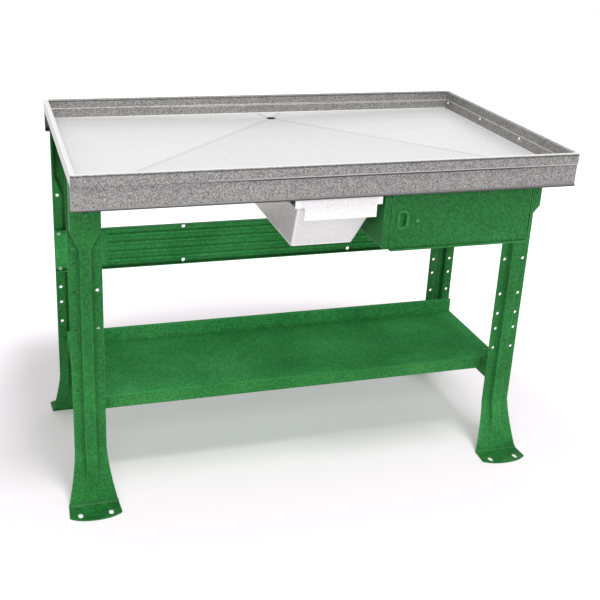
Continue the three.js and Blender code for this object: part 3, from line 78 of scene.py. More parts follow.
class Shader:
    """A material with one Principled shader and a short way to add and join nodes."""

    def __init__(self, name):
        self.material = bpy.data.materials.new(name)
        self.material.use_nodes = True
        self.tree = self.material.node_tree
        self.tree.nodes.clear()
        output = self.add("ShaderNodeOutputMaterial")
        self.bsdf = self.add("ShaderNodeBsdfPrincipled")
        self.join(self.bsdf.outputs[0], output.inputs["Surface"])
        self.place = self.add("ShaderNodeTexCoord").outputs["Object"]

    def add(self, kind, **settings):
        node = self.tree.nodes.new(kind)
        for key, value in settings.items():
            setattr(node, key, value)
        return node

    def join(self, a, b):
        self.tree.links.new(a, b)

    def set(self, socket, value):
        self.bsdf.inputs[socket].default_value = value

    def colour(self, socket):
        self.join(socket, self.bsdf.inputs["Base Color"])

    def rough(self, socket):
        self.join(socket, self.bsdf.inputs["Roughness"])

    def math(self, kind, *values):
        node = self.add("ShaderNodeMath", operation=kind)
        for socket, value in zip(node.inputs, values):
            if isinstance(value, (int, float)):
                socket.default_value = value
            else:
                self.join(value, socket)
        return node.outputs[0]

    def times(self, a, b):
        return self.math("MULTIPLY", a, b)

    def most(self, a, b):
        return self.math("MAXIMUM", a, b)

    def rest(self, value):
        return self.math("SUBTRACT", 1.0, value)

    def over(self, value, limit):
        return self.math("GREATER_THAN", value, limit)

    def under(self, value, limit):
        return self.math("LESS_THAN", value, limit)

    def ease(self, value, start, end):
        """Zero up to the start, one from the end on, even between them."""
        node = self.add("ShaderNodeMapRange")
        node.inputs["From Min"].default_value = start
        node.inputs["From Max"].default_value = end
        self.join(value, node.inputs["Value"])
        return node.outputs["Result"]

    def span(self, value, low, high):
        """Spreads a value between zero and one over low to high."""
        node = self.add("ShaderNodeMapRange")
        node.inputs["To Min"].default_value = low
        node.inputs["To Max"].default_value = high
        self.join(value, node.inputs["Value"])
        return node.outputs["Result"]

    def stretched(self, scale):
        node = self.add("ShaderNodeMapping")
        node.inputs["Scale"].default_value = scale
        self.join(self.place, node.inputs["Vector"])
        return node.outputs["Vector"]

    def noise(self, scale, detail, rough, stretch=None):
        node = self.add("ShaderNodeTexNoise")
        node.inputs["Scale"].default_value = scale
        node.inputs["Detail"].default_value = detail
        node.inputs["Roughness"].default_value = rough
        self.join(self.stretched(stretch) if stretch else self.place, node.inputs["Vector"])
        return node.outputs["Fac"]

    def cells(self, scale):
        node = self.add("ShaderNodeTexVoronoi")
        node.inputs["Scale"].default_value = scale
        self.join(self.place, node.inputs["Vector"])
        return node.outputs["Color"]

    def ramp(self, value, places, colours):
        node = self.add("ShaderNodeValToRGB")
        elements = node.color_ramp.elements
        while len(elements) < len(places):
            elements.new(places[len(elements) - 1])
        for element, place, colour in zip(elements, places, colours):
            element.position = place
            element.color = rgba(colour)
        self.join(value, node.inputs["Fac"])
        return node.outputs["Color"]

    def pattern(self, scale, detail, rough, low, high, stretch=None):
        """Grey noise. Low and high each hold a noise value and the grey that it becomes."""
        places, greys = zip(low, high)
        return self.ramp(self.noise(scale, detail, rough, stretch), places, greys)

    def blend(self, factor, a, b, mode="MIX"):
        node = self.add("ShaderNodeMix", data_type="RGBA", blend_type=mode)
        for number, value in zip(MIX_INPUTS, (factor, a, b)):
            socket = node.inputs[number]
            if isinstance(value, (int, float)):
                socket.default_value = value
            elif isinstance(value, tuple):
                socket.default_value = rgba(value)
            else:
                self.join(value, socket)
        return node.outputs[MIX_RESULT]

    def paint(self, base, mask, share, colour):
        """Lays a colour over the base by a share, where the mask is one."""
        return self.blend(self.times(mask, share), base, colour)

    def along(self, axis):
        split = self.add("ShaderNodeSeparateXYZ")
        self.join(self.place, split.inputs[0])
        return split.outputs[axis]

    def off_middle(self, axis):
        return self.math("ABSOLUTE", self.along(axis))

    def near(self, axis, middle, reach):
        return self.math("COMPARE", self.along(axis), middle, reach)

    def within(self, reach):
        """One inside a rectangle about the middle, seen from above."""
        return self.times(self.near("X", 0.0, reach[0]), self.near("Y", 0.0, reach[1]))

    def across(self, start, end, sign):
        """Distance to one side of the line from start to end, seen from above."""
        run = Vector(end) - Vector(start)
        normal = Vector((-run.y, run.x)).normalized() * sign
        node = self.add("ShaderNodeVectorMath", operation="DOT_PRODUCT")
        self.join(self.place, node.inputs[0])
        node.inputs[1].default_value = (normal.x, normal.y, 0.0)
        return self.math("SUBTRACT", node.outputs["Value"], normal.dot(Vector(start)))

    def fade(self, distance, reach):
        """One at no distance, falling to zero at the reach."""
        share = self.math("DIVIDE", self.math("ABSOLUTE", distance), reach)
        return self.rest(self.math("MINIMUM", share, 1.0))

    def normal_along(self, axis):
        split = self.add("ShaderNodeSeparateXYZ")
        self.join(self.add("ShaderNodeNewGeometry").outputs["Normal"], split.inputs[0])
        return split.outputs[axis]

    def facing(self, axis, start, end):
        """How far a face has turned one way along an axis."""
        return self.ease(self.normal_along(axis), start, end)

    def facing_either(self, axis, start, end):
        """How far a face has turned along an axis, one way or the other."""
        return self.ease(self.math("ABSOLUTE", self.normal_along(axis)), start, end)

    def edges(self, radius, start, end):
        """How much the surface turns within a radius: one on edges and creases."""
        rounded = self.add("ShaderNodeBevel")
        rounded.inputs["Radius"].default_value = radius
        turned = self.add("ShaderNodeVectorMath", operation="DOT_PRODUCT")
        self.join(rounded.outputs["Normal"], turned.inputs[0])
        self.join(self.add("ShaderNodeNewGeometry").outputs["Normal"], turned.inputs[1])
        return self.ease(self.rest(turned.outputs["Value"]), start, end)

    def creases(self, reach, samples, open_level, shut_level):
        """How much the piece itself shuts in the air at a face: one in grooves and corners."""
        air = self.add("ShaderNodeAmbientOcclusion", samples=samples, only_local=True)
        air.inputs["Distance"].default_value = reach
        return self.ease(air.outputs["AO"], open_level, shut_level)

    def bumps(self, layers):
        """Layers of bumps, each a height with its strength and its distance."""
        normal = None
        for height, strength, distance in layers:
            node = self.add("ShaderNodeBump")
            node.inputs["Strength"].default_value = strength
            node.inputs["Distance"].default_value = distance
            self.join(height, node.inputs["Height"])
            if normal is not None:
                self.join(normal, node.inputs["Normal"])
            normal = node.outputs["Normal"]
        self.join(normal, self.bsdf.inputs["Normal"])


# Green enamel: mottled paint, painted highlights on edges, painted shade in grooves and corners, darker
# toes

CLOUDS = dict(scale=5.0, detail=4.0, rough=0.55)
CLOUD_PLACES = (0.3, 0.5, 0.72)
MOTTLE = dict(scale=180.0, detail=2.0, rough=0.6, low=(0.4, 0.4), high=(0.6, 1.0))
MOTTLE_SHARE = 0.6
RUB_STRETCH = (1.0, 1.0, 0.15)
RUBS = dict(scale=60.0, detail=5.0, rough=0.7, low=(0.6, 0.0), high=(0.7, 1.0), stretch=RUB_STRETCH)
RUBS_SHARE = 0.25
PATCHES = dict(scale=28.0, detail=3.0, rough=0.6, low=(0.38, 0.2), high=(0.6, 1.0))
# painted highlight: edges and creases take a lighter green
EDGE_HIGHLIGHT = dict(radius=0.0024, start=0.01, end=0.08)
EDGE_HIGHLIGHT_SHARE = 0.6
HIGHLIGHT_GREEN = srgb(96, 184, 108)
# painted shade: grooves and corners found by ambient occlusion are darkened
GROOVE_SHADE = dict(reach=0.01, samples=8, open_level=0.95, shut_level=0.7)
SHADE_AND_TOE_GREEN = srgb(18, 58, 28)
GROOVE_SHADE_SHARE = 0.5
ENAMEL_FRONT_TURN = (-0.5, -0.8)
TOE_DARK_BAND = (0.012, 0.006)
TOE_SHARE = 0.55
GLOSS = dict(scale=35.0, detail=4.0, rough=0.6)
ENAMEL_ROUGH = (0.42, 0.56)
ENAMEL_SPECULAR = 0.14
ENAMEL_GRAIN = dict(scale=420.0, detail=2.0, rough=0.5)
ENAMEL_GRAIN_BUMP = (0.12, 0.0006)
ENAMEL_WAVES = dict(scale=14.0, detail=2.0, rough=0.5)
ENAMEL_WAVE_BUMP = (0.08, 0.002)


def enamel(name, greens, rough=ENAMEL_ROUGH, specular=ENAMEL_SPECULAR, front=WHITE, darkening=GROOVE_SHADE_SHARE):
    """Paint in a deep, a middle and a light green, with painted highlights on edges, painted shade in
    grooves and corners, and darker toes. Faces to the front are tinted by front, which darkens them as
    painted shade.
    """
    s = Shader(name)
    base = s.ramp(s.noise(**CLOUDS), CLOUD_PLACES, greens)
    base = s.blend(MOTTLE_SHARE, base, s.pattern(**MOTTLE), "MULTIPLY")
    base = s.blend(s.times(s.pattern(**RUBS), RUBS_SHARE), base, greens[-1])
    patchy = s.pattern(**PATCHES)
    # painted shade: how much the piece shuts in the air at each point
    groove_shade = s.creases(**GROOVE_SHADE)
    # painted highlight: a lighter green in patches on edges, kept out of grooves
    highlit = s.times(s.times(s.edges(**EDGE_HIGHLIGHT), patchy), s.rest(groove_shade))
    base = s.paint(base, highlit, EDGE_HIGHLIGHT_SHARE, HIGHLIGHT_GREEN)
    # painted shade: front faces ahead of the middle are darkened by front
    shaded_front = s.times(s.facing("Y", *ENAMEL_FRONT_TURN), s.under(s.along("Y"), 0.0))
    base = s.blend(shaded_front, base, front, "MULTIPLY")
    # the toes, below a small height, are darker in patches
    toe = s.times(s.ease(s.along("Z"), *TOE_DARK_BAND), s.rest(highlit))
    # painted shade in grooves and corners, and the darker toes, laid on in one dark green
    shade_and_toe = s.most(s.times(groove_shade, darkening), s.times(s.times(toe, patchy), TOE_SHARE))
    base = s.blend(shade_and_toe, base, SHADE_AND_TOE_GREEN)
    s.colour(base)
    s.rough(s.span(s.noise(**GLOSS), *rough))
    s.set("Specular IOR Level", specular)
    grain = (s.noise(**ENAMEL_GRAIN), *ENAMEL_GRAIN_BUMP)
    waves = (s.noise(**ENAMEL_WAVES), *ENAMEL_WAVE_BUMP)
    s.bumps([grain, waves])
    return s.material


# Bare steel: spangled grain with scratches along the length

SPANGLE_PLACES = (0.1, 0.9)
SWIRL = dict(detail=4.0, rough=0.7, low=(0.3, 0.45), high=(0.7, 1.0))
SWIRL_SCALE_SHARE = 1.1
CLOUDY = dict(scale=6.0, detail=4.0, rough=0.5, low=(0.3, 0.9), high=(0.7, 1.0))
CLOUDY_SHARE = 0.8
SHEEN = dict(scale=45.0, detail=4.0, rough=0.6)
SCRATCHES = dict(scale=90.0, detail=2.0, rough=0.5, stretch=(0.06, 1.0, 1.0))
SCRATCH_DEPTH = 0.0004
PITS = dict(detail=2.0, rough=0.5)
PITS_SCALE_SHARE = 1.5
PITS_DEPTH = 0.0003


def spangled(s, dark, light, grain, contrast):
    grey = s.ramp(s.cells(grain), SPANGLE_PLACES, (dark, light))
    base = s.blend(contrast, grey, s.pattern(grain * SWIRL_SCALE_SHARE, **SWIRL), "MULTIPLY")
    return s.blend(CLOUDY_SHARE, base, s.pattern(**CLOUDY), "MULTIPLY")


def scratched(s, grain, bump, rough, metallic):
    s.rough(s.span(s.noise(**SHEEN), *rough))
    s.set("Metallic", metallic)
    scratches = (s.noise(**SCRATCHES), bump, SCRATCH_DEPTH)
    pits = (s.noise(grain * PITS_SCALE_SHARE, **PITS), bump, PITS_DEPTH)
    s.bumps([scratches, pits])


def plain_steel(name, spangle, finish):
    s = Shader(name)
    s.colour(spangled(s, **spangle))
    scratched(s, spangle["grain"], **finish)
    return s.material


# Tray and bands: bright brushed floor, dull grained lips, painted shadow in the seam under the cap

# The tray is centred, so its high corner gives half its length, half its depth and its rim's height
TRAY_CORNER = box_of("tray_top")[1]
HALF_LENGTH, HALF_DEPTH, RIM_TOP = TRAY_CORNER
BAND_BOTTOM = box_of("apron_front")[0][2]
SPIGOT_LOW, SPIGOT_HIGH = box_of("drain_spigot")
DRAIN = ((SPIGOT_LOW[0] + SPIGOT_HIGH[0]) / 2, (SPIGOT_LOW[1] + SPIGOT_HIGH[1]) / 2)


def inset(length_inset, depth_inset):
    return (HALF_LENGTH - length_inset, HALF_DEPTH - depth_inset)


FLOOR_REACH = inset(0.015, 0.0155)
CREASE_END = inset(0.0165, 0.016)
LIP_REACH = inset(0.0125, 0.0125)
RIM_REACH = inset(0.0035, 0.0035)
RIM_LAND = 0.013
CAP_DROP = 0.027
CAP_BOTTOM = RIM_TOP - CAP_DROP

SHADE_AND_LINE_BLACK = (0.03, 0.03, 0.03)
HIGHLIGHT_GREY = (0.86, 0.86, 0.86)
DULL_DARK = (0.127, 0.125, 0.123)
DULL_LIGHT = (0.53, 0.522, 0.514)
DULL_GRAIN = 460.0
DULL = dict(dark=DULL_DARK, light=DULL_LIGHT, grain=DULL_GRAIN, contrast=0.8)
FRONT_TURN = (-0.3, -0.5)
LENGTHWISE_TURN = (0.3, 0.5)
UP_TURN = (0.2, 0.5)
FLAT_TURN = (0.9, 0.95)

SEAM_START = (-0.37, -0.16)
SEAM_END = (0.6, 0.42)
CAP_SHADOW_DROP = 0.002
CAP_SHADOW_HALF = 0.0032
CAP_SHADOW_SHARE = 0.9
HEM_SHADOW_HALF = 0.0038
HEM_SHADOW_SHARE = 0.85
BAND_TOP_SHADE_SHARE = 0.75
BAND_FINISH = dict(grain=300.0, bump=0.15, rough=(0.42, 0.58), metallic=0.35)

END_FACE_INSET = 0.0055
END_FACE_LIGHT_SHARE = 0.6
CAP_LINE_RISE = 0.0008
CAP_LINE_HALF = 0.0016
CAP_HIGHLIGHT_SHARE = 0.5
CAP_HIGHLIGHT_GREY = (0.62, 0.61, 0.61)
RIM_LINE_DROP = 0.0034
RIM_LINE_HALF = 0.0018
RIM_LINE_SHARE = 0.65
FAR_EDGE_DROP = 0.005
FAR_EDGE_SHARE = 0.85
LEDGE_DROP = 0.023
LEDGE_HALF = 0.0014
LEDGE_HIGHLIGHT_PATCHES = dict(scale=90.0, detail=3.0, rough=0.6, low=(0.35, 0.1), high=(0.6, 0.4))
LAND_HALF = 0.008
LAND_HIGHLIGHT_SHARE = 0.9

FLOOR_GRAIN = dict(scale=230.0, detail=3.0, rough=0.6, low=(0.36, 0.78), high=(0.64, 0.91))
BRUSH_STRETCH = (0.08, 1.0, 1.0)
BRUSHED = dict(scale=40.0, detail=4.0, rough=0.6, low=(0.3, 0.95), high=(0.7, 1.0), stretch=BRUSH_STRETCH)
CREASE_HALF = 0.009
CREASE_SHADE_SHARE = 0.5
CREASE_SHADE_GREY = (0.45, 0.45, 0.45)
FRONT_FALL_SHADE_SHARE = 0.19
FRONT_FALL_SHADE_GREY = (0.6, 0.6, 0.6)
FOOT_HALF = 0.003
FOOT_HIGHLIGHT_SHARE = 0.8
FOOT_HIGHLIGHT_WHITE = (0.98, 0.98, 0.98)
LEFT_DARK_INSETS = (0.0345, 0.0215)
LEFT_DARK_SHARE = 0.55
LEFT_DARK_GREY = (0.3, 0.3, 0.3)
DARK_DOTS = dict(scale=300.0, detail=2.0, rough=0.5, low=(0.42, 0.0), high=(0.58, 1.0))
TRAY_FINISH = dict(grain=420.0, bump=0.1, rough=(0.36, 0.5), metallic=0.35)


def lip_colour(s):
    """Dull lips and cap with painted light on the end faces, a painted highlight above the cap's bottom
    edge, dark lines along the rim and the far edges, and a patchy painted highlight on the ledge in the
    end lips.
    """
    lengthwise = s.facing_either("Y", *LENGTHWISE_TURN)
    crosswise = s.rest(lengthwise)
    beyond_rim = s.most(s.over(s.along("X"), RIM_REACH[0]), s.over(s.along("Y"), RIM_REACH[1]))
    far_edge = s.times(beyond_rim, s.over(s.along("Z"), RIM_TOP - FAR_EDGE_DROP))
    # painted light: the outer end faces are lightened
    lit_end_face = s.times(s.over(s.off_middle("X"), HALF_LENGTH - END_FACE_INSET), crosswise)
    dull = s.paint(spangled(s, **DULL), s.times(lit_end_face, s.rest(far_edge)), END_FACE_LIGHT_SHARE, HIGHLIGHT_GREY)
    # painted highlight: a light line just above the cap's bottom edge, on faces to the front
    cap_highlight = s.times(s.near("Z", CAP_BOTTOM + CAP_LINE_RISE, CAP_LINE_HALF), s.facing("Y", *FRONT_TURN))
    cap_highlight = s.times(cap_highlight, s.ease(s.along("X"), *SEAM_START))
    dull = s.paint(dull, cap_highlight, CAP_HIGHLIGHT_SHARE, CAP_HIGHLIGHT_GREY)
    # dark lines: just under the rim's top edge, and on the far outer edges near the top
    rim_line = s.times(s.near("Z", RIM_TOP - RIM_LINE_DROP, RIM_LINE_HALF), lengthwise)
    darkening = s.most(s.times(rim_line, RIM_LINE_SHARE), s.times(far_edge, FAR_EDGE_SHARE))
    dull = s.blend(darkening, dull, SHADE_AND_LINE_BLACK)
    # painted highlight: a patchy light line along the ledge in the end lips
    ledge = s.times(s.near("Z", RIM_TOP - LEDGE_DROP, LEDGE_HALF), s.within(LIP_REACH))
    highlit = s.times(s.times(ledge, crosswise), s.pattern(**LEDGE_HIGHLIGHT_PATCHES))
    return s.blend(highlit, dull, HIGHLIGHT_GREY)


def floor_colour(s):
    """Bright brushed floor with painted shade along each crease and on the fall in front of it, a painted
    highlight along its foot at the right and the back, and a darker speckled strip along its left foot.
    """
    bright = s.blend(1.0, s.pattern(**FLOOR_GRAIN), s.pattern(**BRUSHED), "MULTIPLY")
    for side in (-1, 1):
        to_front = s.across(DRAIN, (side * CREASE_END[0], -CREASE_END[1]), -side)
        # painted shade: a dark line along each crease and a darker fall in front of it
        bright = s.paint(bright, s.fade(to_front, CREASE_HALF), CREASE_SHADE_SHARE, CREASE_SHADE_GREY)
        bright = s.paint(bright, s.over(to_front, 0.0), FRONT_FALL_SHADE_SHARE, FRONT_FALL_SHADE_GREY)
    # painted highlight: a white line along the floor's foot at the right and the back
    right_foot = s.near("X", FLOOR_REACH[0] - FOOT_HALF, FOOT_HALF)
    back_foot = s.near("Y", FLOOR_REACH[1] - FOOT_HALF, FOOT_HALF)
    bright = s.paint(bright, s.most(right_foot, back_foot), FOOT_HIGHLIGHT_SHARE, FOOT_HIGHLIGHT_WHITE)
    # a darker, speckled strip along the floor's left foot
    dark_from, dark_to = (value - HALF_LENGTH for value in LEFT_DARK_INSETS)
    left_foot = s.times(s.ease(s.along("X"), dark_from, dark_to), s.pattern(**DARK_DOTS))
    return s.paint(bright, left_foot, LEFT_DARK_SHARE, LEFT_DARK_GREY)


def tray_material():
    s = Shader("tray_steel")
    flat = s.facing("Z", *FLAT_TURN)
    base = s.blend(s.times(flat, s.within(FLOOR_REACH)), lip_colour(s), floor_colour(s))
    # painted highlight: the front and left lands of the rim are lightened
    front_land = s.near("Y", RIM_LAND / 2 - HALF_DEPTH, LAND_HALF)
    left_land = s.under(s.along("X"), RIM_LAND - HALF_LENGTH)
    base = s.paint(base, s.times(flat, s.most(front_land, left_land)), LAND_HIGHLIGHT_SHARE, HIGHLIGHT_GREY)
    s.colour(base)
    scratched(s, **TRAY_FINISH)
    return s.material


def band_material():
    s = Shader("band_steel")
    # painted shadow: a dark line under the cap, faded out toward both ends
    cap_shadow = s.near("Z", CAP_BOTTOM - CAP_SHADOW_DROP, CAP_SHADOW_HALF)
    shown = s.times(s.ease(s.along("X"), *SEAM_START), s.ease(s.along("X"), *SEAM_END))
    base = s.paint(spangled(s, **DULL), s.times(cap_shadow, shown), CAP_SHADOW_SHARE, SHADE_AND_LINE_BLACK)
    # painted shadow: a dark line along the hem at the bottom
    base = s.paint(base, s.near("Z", BAND_BOTTOM, HEM_SHADOW_HALF), HEM_SHADOW_SHARE, SHADE_AND_LINE_BLACK)
    # painted shade: faces turned upward take the dark grey
    base = s.paint(base, s.facing("Z", *UP_TURN), BAND_TOP_SHADE_SHARE, DULL_DARK)
    s.colour(base)
    scratched(s, **BAND_FINISH)
    return s.material


# Pan: bright plate, side walls grained and darker as painted shade, and painted highlights along the
# front wall's edges and the floor

PAN_FLOOR_Z = box_of("drain_pan")[0][2]
PAN_WALL_HEIGHT = 0.132
PAN_FLOOR_HALF = 0.0785
PAN_SPREAD = 0.019
PAN_EDGE = 0.005
PAN_PLATE = dict(dark=(0.87, 0.865, 0.865), light=(0.98, 0.98, 0.98), grain=300.0, contrast=0.2)
PAN_SIDE_SHADE = dict(dark=(0.62, 0.56, 0.58), light=(1.0, 0.93, 0.96), grain=DULL_GRAIN, contrast=0.5)
PAN_SIDE_TURN = (0.8, 0.9)
PAN_EDGE_HIGHLIGHT = (0.98, 0.97, 0.97)
PAN_EDGE_HIGHLIGHT_SHARE = 0.9
PAN_FINISH = dict(grain=320.0, bump=0.1, rough=(0.4, 0.55), metallic=0.2)


def pan_material():
    s = Shader("pan_steel")
    # painted shade: the side walls take a darker, grainier grey than the plate
    shaded_side = s.facing_either("X", *PAN_SIDE_TURN)
    base = s.blend(shaded_side, spangled(s, **PAN_PLATE), spangled(s, **PAN_SIDE_SHADE))
    # painted highlight: white along the front wall's outer edges and along the floor
    rise = s.math("DIVIDE", s.math("SUBTRACT", s.along("Z"), PAN_FLOOR_Z), PAN_WALL_HEIGHT)
    reach = s.math("ADD", s.times(rise, PAN_SPREAD), PAN_FLOOR_HALF - PAN_EDGE)
    front_edge = s.times(s.over(s.off_middle("X"), reach), s.facing("Y", *FRONT_TURN))
    highlit = s.most(front_edge, s.near("Z", PAN_FLOOR_Z, PAN_EDGE))
    s.colour(s.paint(base, highlit, PAN_EDGE_HIGHLIGHT_SHARE, PAN_EDGE_HIGHLIGHT))
    scratched(s, **PAN_FINISH)
    return s.material


# Materials and the pieces that wear them

BASE_GREENS = (srgb(39, 119, 55), srgb(48, 134, 64), srgb(62, 152, 78))
# painted shade: the drawer's greens are a darker copy of the base greens
DRAWER_SHADE_GREENS = (srgb(35, 107, 50), srgb(42, 120, 58), srgb(55, 137, 71))
# painted light: the stringer's and the shelf's greens are lighter copies of the base greens
STRINGER_LIGHTENED_GREENS = (srgb(54, 157, 77), srgb(66, 175, 90), srgb(81, 191, 104))
SHELF_LIGHTENED_GREENS = (srgb(57, 152, 79), srgb(69, 169, 91), srgb(86, 185, 107))
HIDDEN_GREENS = (srgb(30, 92, 42), srgb(38, 117, 54), srgb(47, 132, 63))
PALE_GREENS = (srgb(58, 140, 74), srgb(68, 152, 84), srgb(86, 170, 100))
# painted light: the pull's greens are lighter than the drawer's
PULL_LIGHTENED_GREENS = (srgb(44, 126, 60), srgb(53, 140, 70), srgb(66, 156, 84))
# the bolts' pale green is partly worn paint and partly a painted glint
WORN_GLINT_GREENS = (srgb(150, 205, 158), srgb(178, 224, 184), srgb(205, 240, 208))
# painted shade: front darkens the shelf's front faces
SHELF_LOOK = dict(rough=(0.62, 0.76), specular=0.06, front=(0.78, 0.72, 0.66), darkening=0.25)
STRINGER_GROOVE_SHADE_SHARE = 0.8
BOLT_GROOVE_SHADE_SHARE = 0.2
ZINC_SPANGLE = dict(dark=0.6, light=0.78, grain=600.0, contrast=0.3)
ZINC_FINISH = dict(bump=0.1, rough=(0.26, 0.4), metallic=0.6)
# painted shade: the drain spigot is near black, for the dark inside the hole
DRAIN_SHADE_SPANGLE = dict(dark=0.02, light=0.07, grain=420.0, contrast=0.4)
DRAIN_FINISH = dict(bump=0.1, rough=(0.45, 0.6), metallic=0.2)
SCREW_SPANGLE = dict(dark=0.86, light=0.97, grain=600.0, contrast=0.2)
SCREW_FINISH = dict(bump=0.1, rough=(0.3, 0.42), metallic=0.2)

green = enamel("green_enamel", BASE_GREENS)
green_drawer_shaded = enamel("green_drawer_shaded", DRAWER_SHADE_GREENS)
green_shelf_lightened = enamel("green_shelf_lightened", SHELF_LIGHTENED_GREENS, **SHELF_LOOK)
green_stringer_lightened = enamel("green_stringer_lightened", STRINGER_LIGHTENED_GREENS, darkening=STRINGER_GROOVE_SHADE_SHARE)
green_pale = enamel("green_pale", PALE_GREENS)
green_pull_lightened = enamel("green_pull_lightened", PULL_LIGHTENED_GREENS, darkening=0.0)
green_worn_glint = enamel("green_worn_glint", WORN_GLINT_GREENS, darkening=BOLT_GROOVE_SHADE_SHARE)
green_hidden = enamel("green_under", HIDDEN_GREENS)
tray_steel = tray_material()
band_steel = band_material()
pan_steel = pan_material()
zinc = plain_steel("zinc_plate", ZINC_SPANGLE, ZINC_FINISH)
drain_shade_steel = plain_steel("drain_shade_steel", DRAIN_SHADE_SPANGLE, DRAIN_FINISH)
screw_steel = plain_steel("screw_steel", SCREW_SPANGLE, SCREW_FINISH)

FINISH = {
    "tray_top": tray_steel,
    "drain_spigot": drain_shade_steel,
    "apron_front": band_steel,
    "apron_back": band_steel,
    "drain_pan": pan_steel,
    "lower_shelf": green_shelf_lightened,
    "stringer_back": green_stringer_lightened,
    "drawer_front": green_drawer_shaded,
    "drawer_pull": green_pull_lightened,
    "drawer_cabinet": green_drawer_shaded,
    "cross_rail_front": green_hidden,
    "cross_rail_back": green_hidden,
    "drawer_lock": green_pale,
    "drawer_runner_left": zinc,
    "drawer_runner_right": zinc,
    "drawer_slide_left": zinc,
    "drawer_slide_right": zinc,
}


def finish_of(name):
    if "head_bolt" in name:
        return green_pale
    if "bolt" in name:
        return green_worn_glint
    return FINISH.get(name, green)


SHARP_ANGLE = math.radians(50)
LARGE_FACE_WEIGHT = 100

for name, obj in nodes.items():
    obj.data.materials.clear()
    obj.data.materials.append(finish_of(name))
    obj.data.shade_smooth()
    obj.data.set_sharp_from_angle(angle=SHARP_ANGLE)
    weighted = obj.modifiers.new("even_normals", "WEIGHTED_NORMAL")
    weighted.keep_sharp = True
    weighted.weight = LARGE_FACE_WEIGHT


def mesh_object(name, build, material):
    mesh = bpy.data.meshes.new(name)
    made = bmesh.new()
    build(made)
    bmesh.ops.recalc_face_normals(made, faces=made.faces)
    made.to_mesh(mesh)
    made.free()
    mesh.shade_smooth()
    mesh.set_sharp_from_angle(angle=SHARP_ANGLE)
    obj = bpy.data.objects.new(name, mesh)
    bpy.context.scene.collection.objects.link(obj)
    mesh.materials.append(material)
    return obj


# Dome screws on the tray's end lips

SCREW_RADIUS = 0.0042
SCREW_PROUD = 0.0022
SCREW_SINK = 0.0004
SCREW_SIDES = 20
DOME_SHARES = ((0.45, 0.97), (0.8, 0.75), (1.0, 0.25))
LIP_FACE_X = HALF_LENGTH - 0.0147
SCREW_Z = RIM_TOP - 0.03
SCREW_PLACES_Y = (-0.102, 0.121, 0.330)


def screw_head(made):
    """A dome of rings, each at a share of the radius, closed at both ends."""
    levels = [(across, SCREW_PROUD * rise) for across, rise in DOME_SHARES]
    levels.append((1.0, -SCREW_SINK))
    rings = []
    for across, height in levels:
        radius = SCREW_RADIUS * across
        ring = []
        for k in range(SCREW_SIDES):
            angle = 2 * math.pi * k / SCREW_SIDES
            ring.append(made.verts.new((radius * math.cos(angle), radius * math.sin(angle), height)))
        rings.append(ring)
    for upper, lower in zip(rings, rings[1:]):
        for k in range(SCREW_SIDES):
            after = (k + 1) % SCREW_SIDES
            made.faces.new((upper[k], upper[after], lower[after], lower[k]))
    made.faces.new(rings[0])
    made.faces.new(rings[-1])


for side, word in ((-1, "left"), (1, "right")):
    for index, y in enumerate(SCREW_PLACES_Y):
        screw = mesh_object(f"lip_screw_{word}_{index + 1}", screw_head, screw_steel)
        screw.rotation_euler = (0.0, -side * math.pi / 2, 0.0)
        screw.location = (side * LIP_FACE_X, y, SCREW_Z)
        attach(screw, "bench")


# White ground and world, which camera, glossy and transmission rays see as white

GROUND_HALF = 7.0
GROUND_NOISE = dict(scale=2.0, detail=2.0, rough=0.5)
GROUND_PLACES = (0.3, 0.7)
GROUND_COLOURS = ((0.88, 0.829, 0.868), (0.885, 0.834, 0.873))
GROUND_ROUGH = 0.9
GROUND_SPECULAR = 0.1
NEAR_LIFT = 0.145
FAR_LIFT = 0.6
LIFT_REACH = (0.85, 1.35)
WORLD_LEVEL = 0.58
WHITE_LEVEL = 1.0


def background_rays(tree):
    """One for the rays that see the background, zero for those that light the object."""
    path = tree.nodes.new("ShaderNodeLightPath")
    seen = path.outputs["Is Camera Ray"]
    for ray in ("Is Glossy Ray", "Is Transmission Ray"):
        either = tree.nodes.new("ShaderNodeMath")
        either.operation = "MAXIMUM"
        tree.links.new(seen, either.inputs[0])
        tree.links.new(path.outputs[ray], either.inputs[1])
        seen = either.outputs[0]
    return seen


def ground_material():
    """White ground whose lift toward white grows with the distance from the object."""
    s = Shader("floor_white")
    s.colour(s.ramp(s.noise(**GROUND_NOISE), GROUND_PLACES, GROUND_COLOURS))
    s.set("Roughness", GROUND_ROUGH)
    s.set("Specular IOR Level", GROUND_SPECULAR)
    s.set("Emission Color", rgba(WHITE))
    away = s.add("ShaderNodeVectorMath", operation="LENGTH")
    s.join(s.place, away.inputs[0])
    lift = s.span(s.ease(away.outputs["Value"], *LIFT_REACH), NEAR_LIFT, FAR_LIFT)
    s.join(s.times(background_rays(s.tree), lift), s.bsdf.inputs["Emission Strength"])
    return s.material


def ground_build(made):
    corners = [(-GROUND_HALF, -GROUND_HALF), (GROUND_HALF, -GROUND_HALF)]
    corners += [(GROUND_HALF, GROUND_HALF), (-GROUND_HALF, GROUND_HALF)]
    made.faces.new([made.verts.new((x, y, 0.0)) for x, y in corners])


def backdrop(tree, strength):
    node = tree.nodes.new("ShaderNodeBackground")
    node.inputs["Color"].default_value = rgba(WHITE)
    node.inputs["Strength"].default_value = strength
    return node.outputs[0]


def studio_world():
    world = bpy.data.worlds.new("studio")
    world.use_nodes = True
    tree = world.node_tree
    tree.nodes.clear()
    mix = tree.nodes.new("ShaderNodeMixShader")
    tree.links.new(background_rays(tree), mix.inputs[0])
    tree.links.new(backdrop(tree, WORLD_LEVEL), mix.inputs[1])
    tree.links.new(backdrop(tree, WHITE_LEVEL), mix.inputs[2])
    output = tree.nodes.new("ShaderNodeOutputWorld")
    tree.links.new(mix.outputs[0], output.inputs["Surface"])
    return world


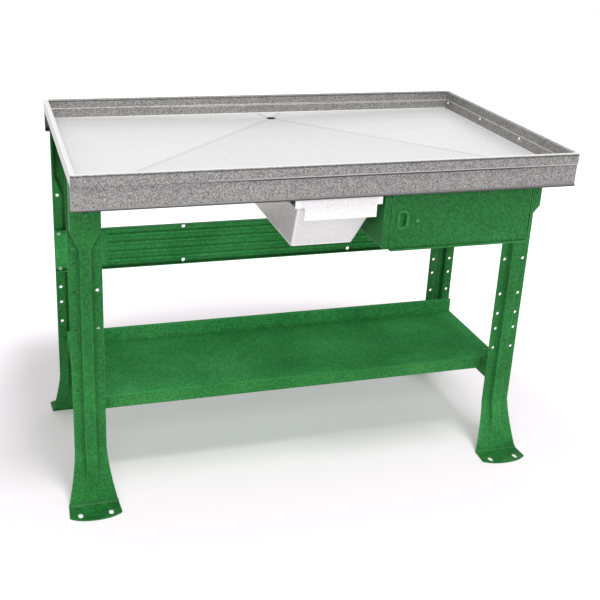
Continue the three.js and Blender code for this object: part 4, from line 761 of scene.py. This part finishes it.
floor = mesh_object("floor", ground_build, ground_material())
bpy.context.scene.world = studio_world()


# Lamps

KEY_LAMP = dict(place=(0.8, -3.1, 8.5), aim=(0.0, 0.0, 0.3), size=(1.8, 1.8), power=325.0)
FRONT_LAMP = dict(place=(-0.7, -3.4, 2.6), aim=(0.0, 0.0, 0.4), size=(3.0, 1.2), power=45.0)


def area_lamp(name, place, aim, size, power):
    data = bpy.data.lights.new(name, "AREA")
    data.shape = "RECTANGLE"
    data.size, data.size_y = size
    data.energy = power
    obj = bpy.data.objects.new(name, data)
    obj.location = place
    obj.rotation_euler = (Vector(aim) - Vector(place)).to_track_quat("-Z", "Y").to_euler()
    bpy.context.scene.collection.objects.link(obj)


area_lamp("key", **KEY_LAMP)
area_lamp("front", **FRONT_LAMP)


# Camera, placed and turned as the photo's

CAMERA_PLACE = Vector((-0.783121, -2.373793, 1.513654))
CAMERA_YAW = 0.306993
CAMERA_PITCH = 0.370375
CAMERA_ROLL = 0.044641
CAMERA_LENS = 59.322
CAMERA_SENSOR = 36.0
CAMERA_SHIFT = (0.0355, -0.0740)
UP = Vector((0.0, 0.0, 1.0))


def camera_turn():
    """Yaw about the vertical, then pitch down, then roll."""
    level = Vector((math.sin(CAMERA_YAW), math.cos(CAMERA_YAW), 0.0))
    aside = Vector((math.cos(CAMERA_YAW), -math.sin(CAMERA_YAW), 0.0))
    ahead = math.cos(CAMERA_PITCH) * level - math.sin(CAMERA_PITCH) * UP
    above = math.sin(CAMERA_PITCH) * level + math.cos(CAMERA_PITCH) * UP
    right = math.cos(CAMERA_ROLL) * aside + math.sin(CAMERA_ROLL) * above
    top = -math.sin(CAMERA_ROLL) * aside + math.cos(CAMERA_ROLL) * above
    return Matrix((right, top, -ahead)).transposed().to_4x4()


lens = bpy.data.cameras.new("camera")
lens.lens = CAMERA_LENS
lens.sensor_width = CAMERA_SENSOR
lens.shift_x, lens.shift_y = CAMERA_SHIFT
camera = bpy.data.objects.new("camera", lens)
camera.matrix_world = Matrix.Translation(CAMERA_PLACE) @ camera_turn()
bpy.context.scene.collection.objects.link(camera)
bpy.context.scene.camera = camera
bpy.context.scene.view_settings.view_transform = "Standard"
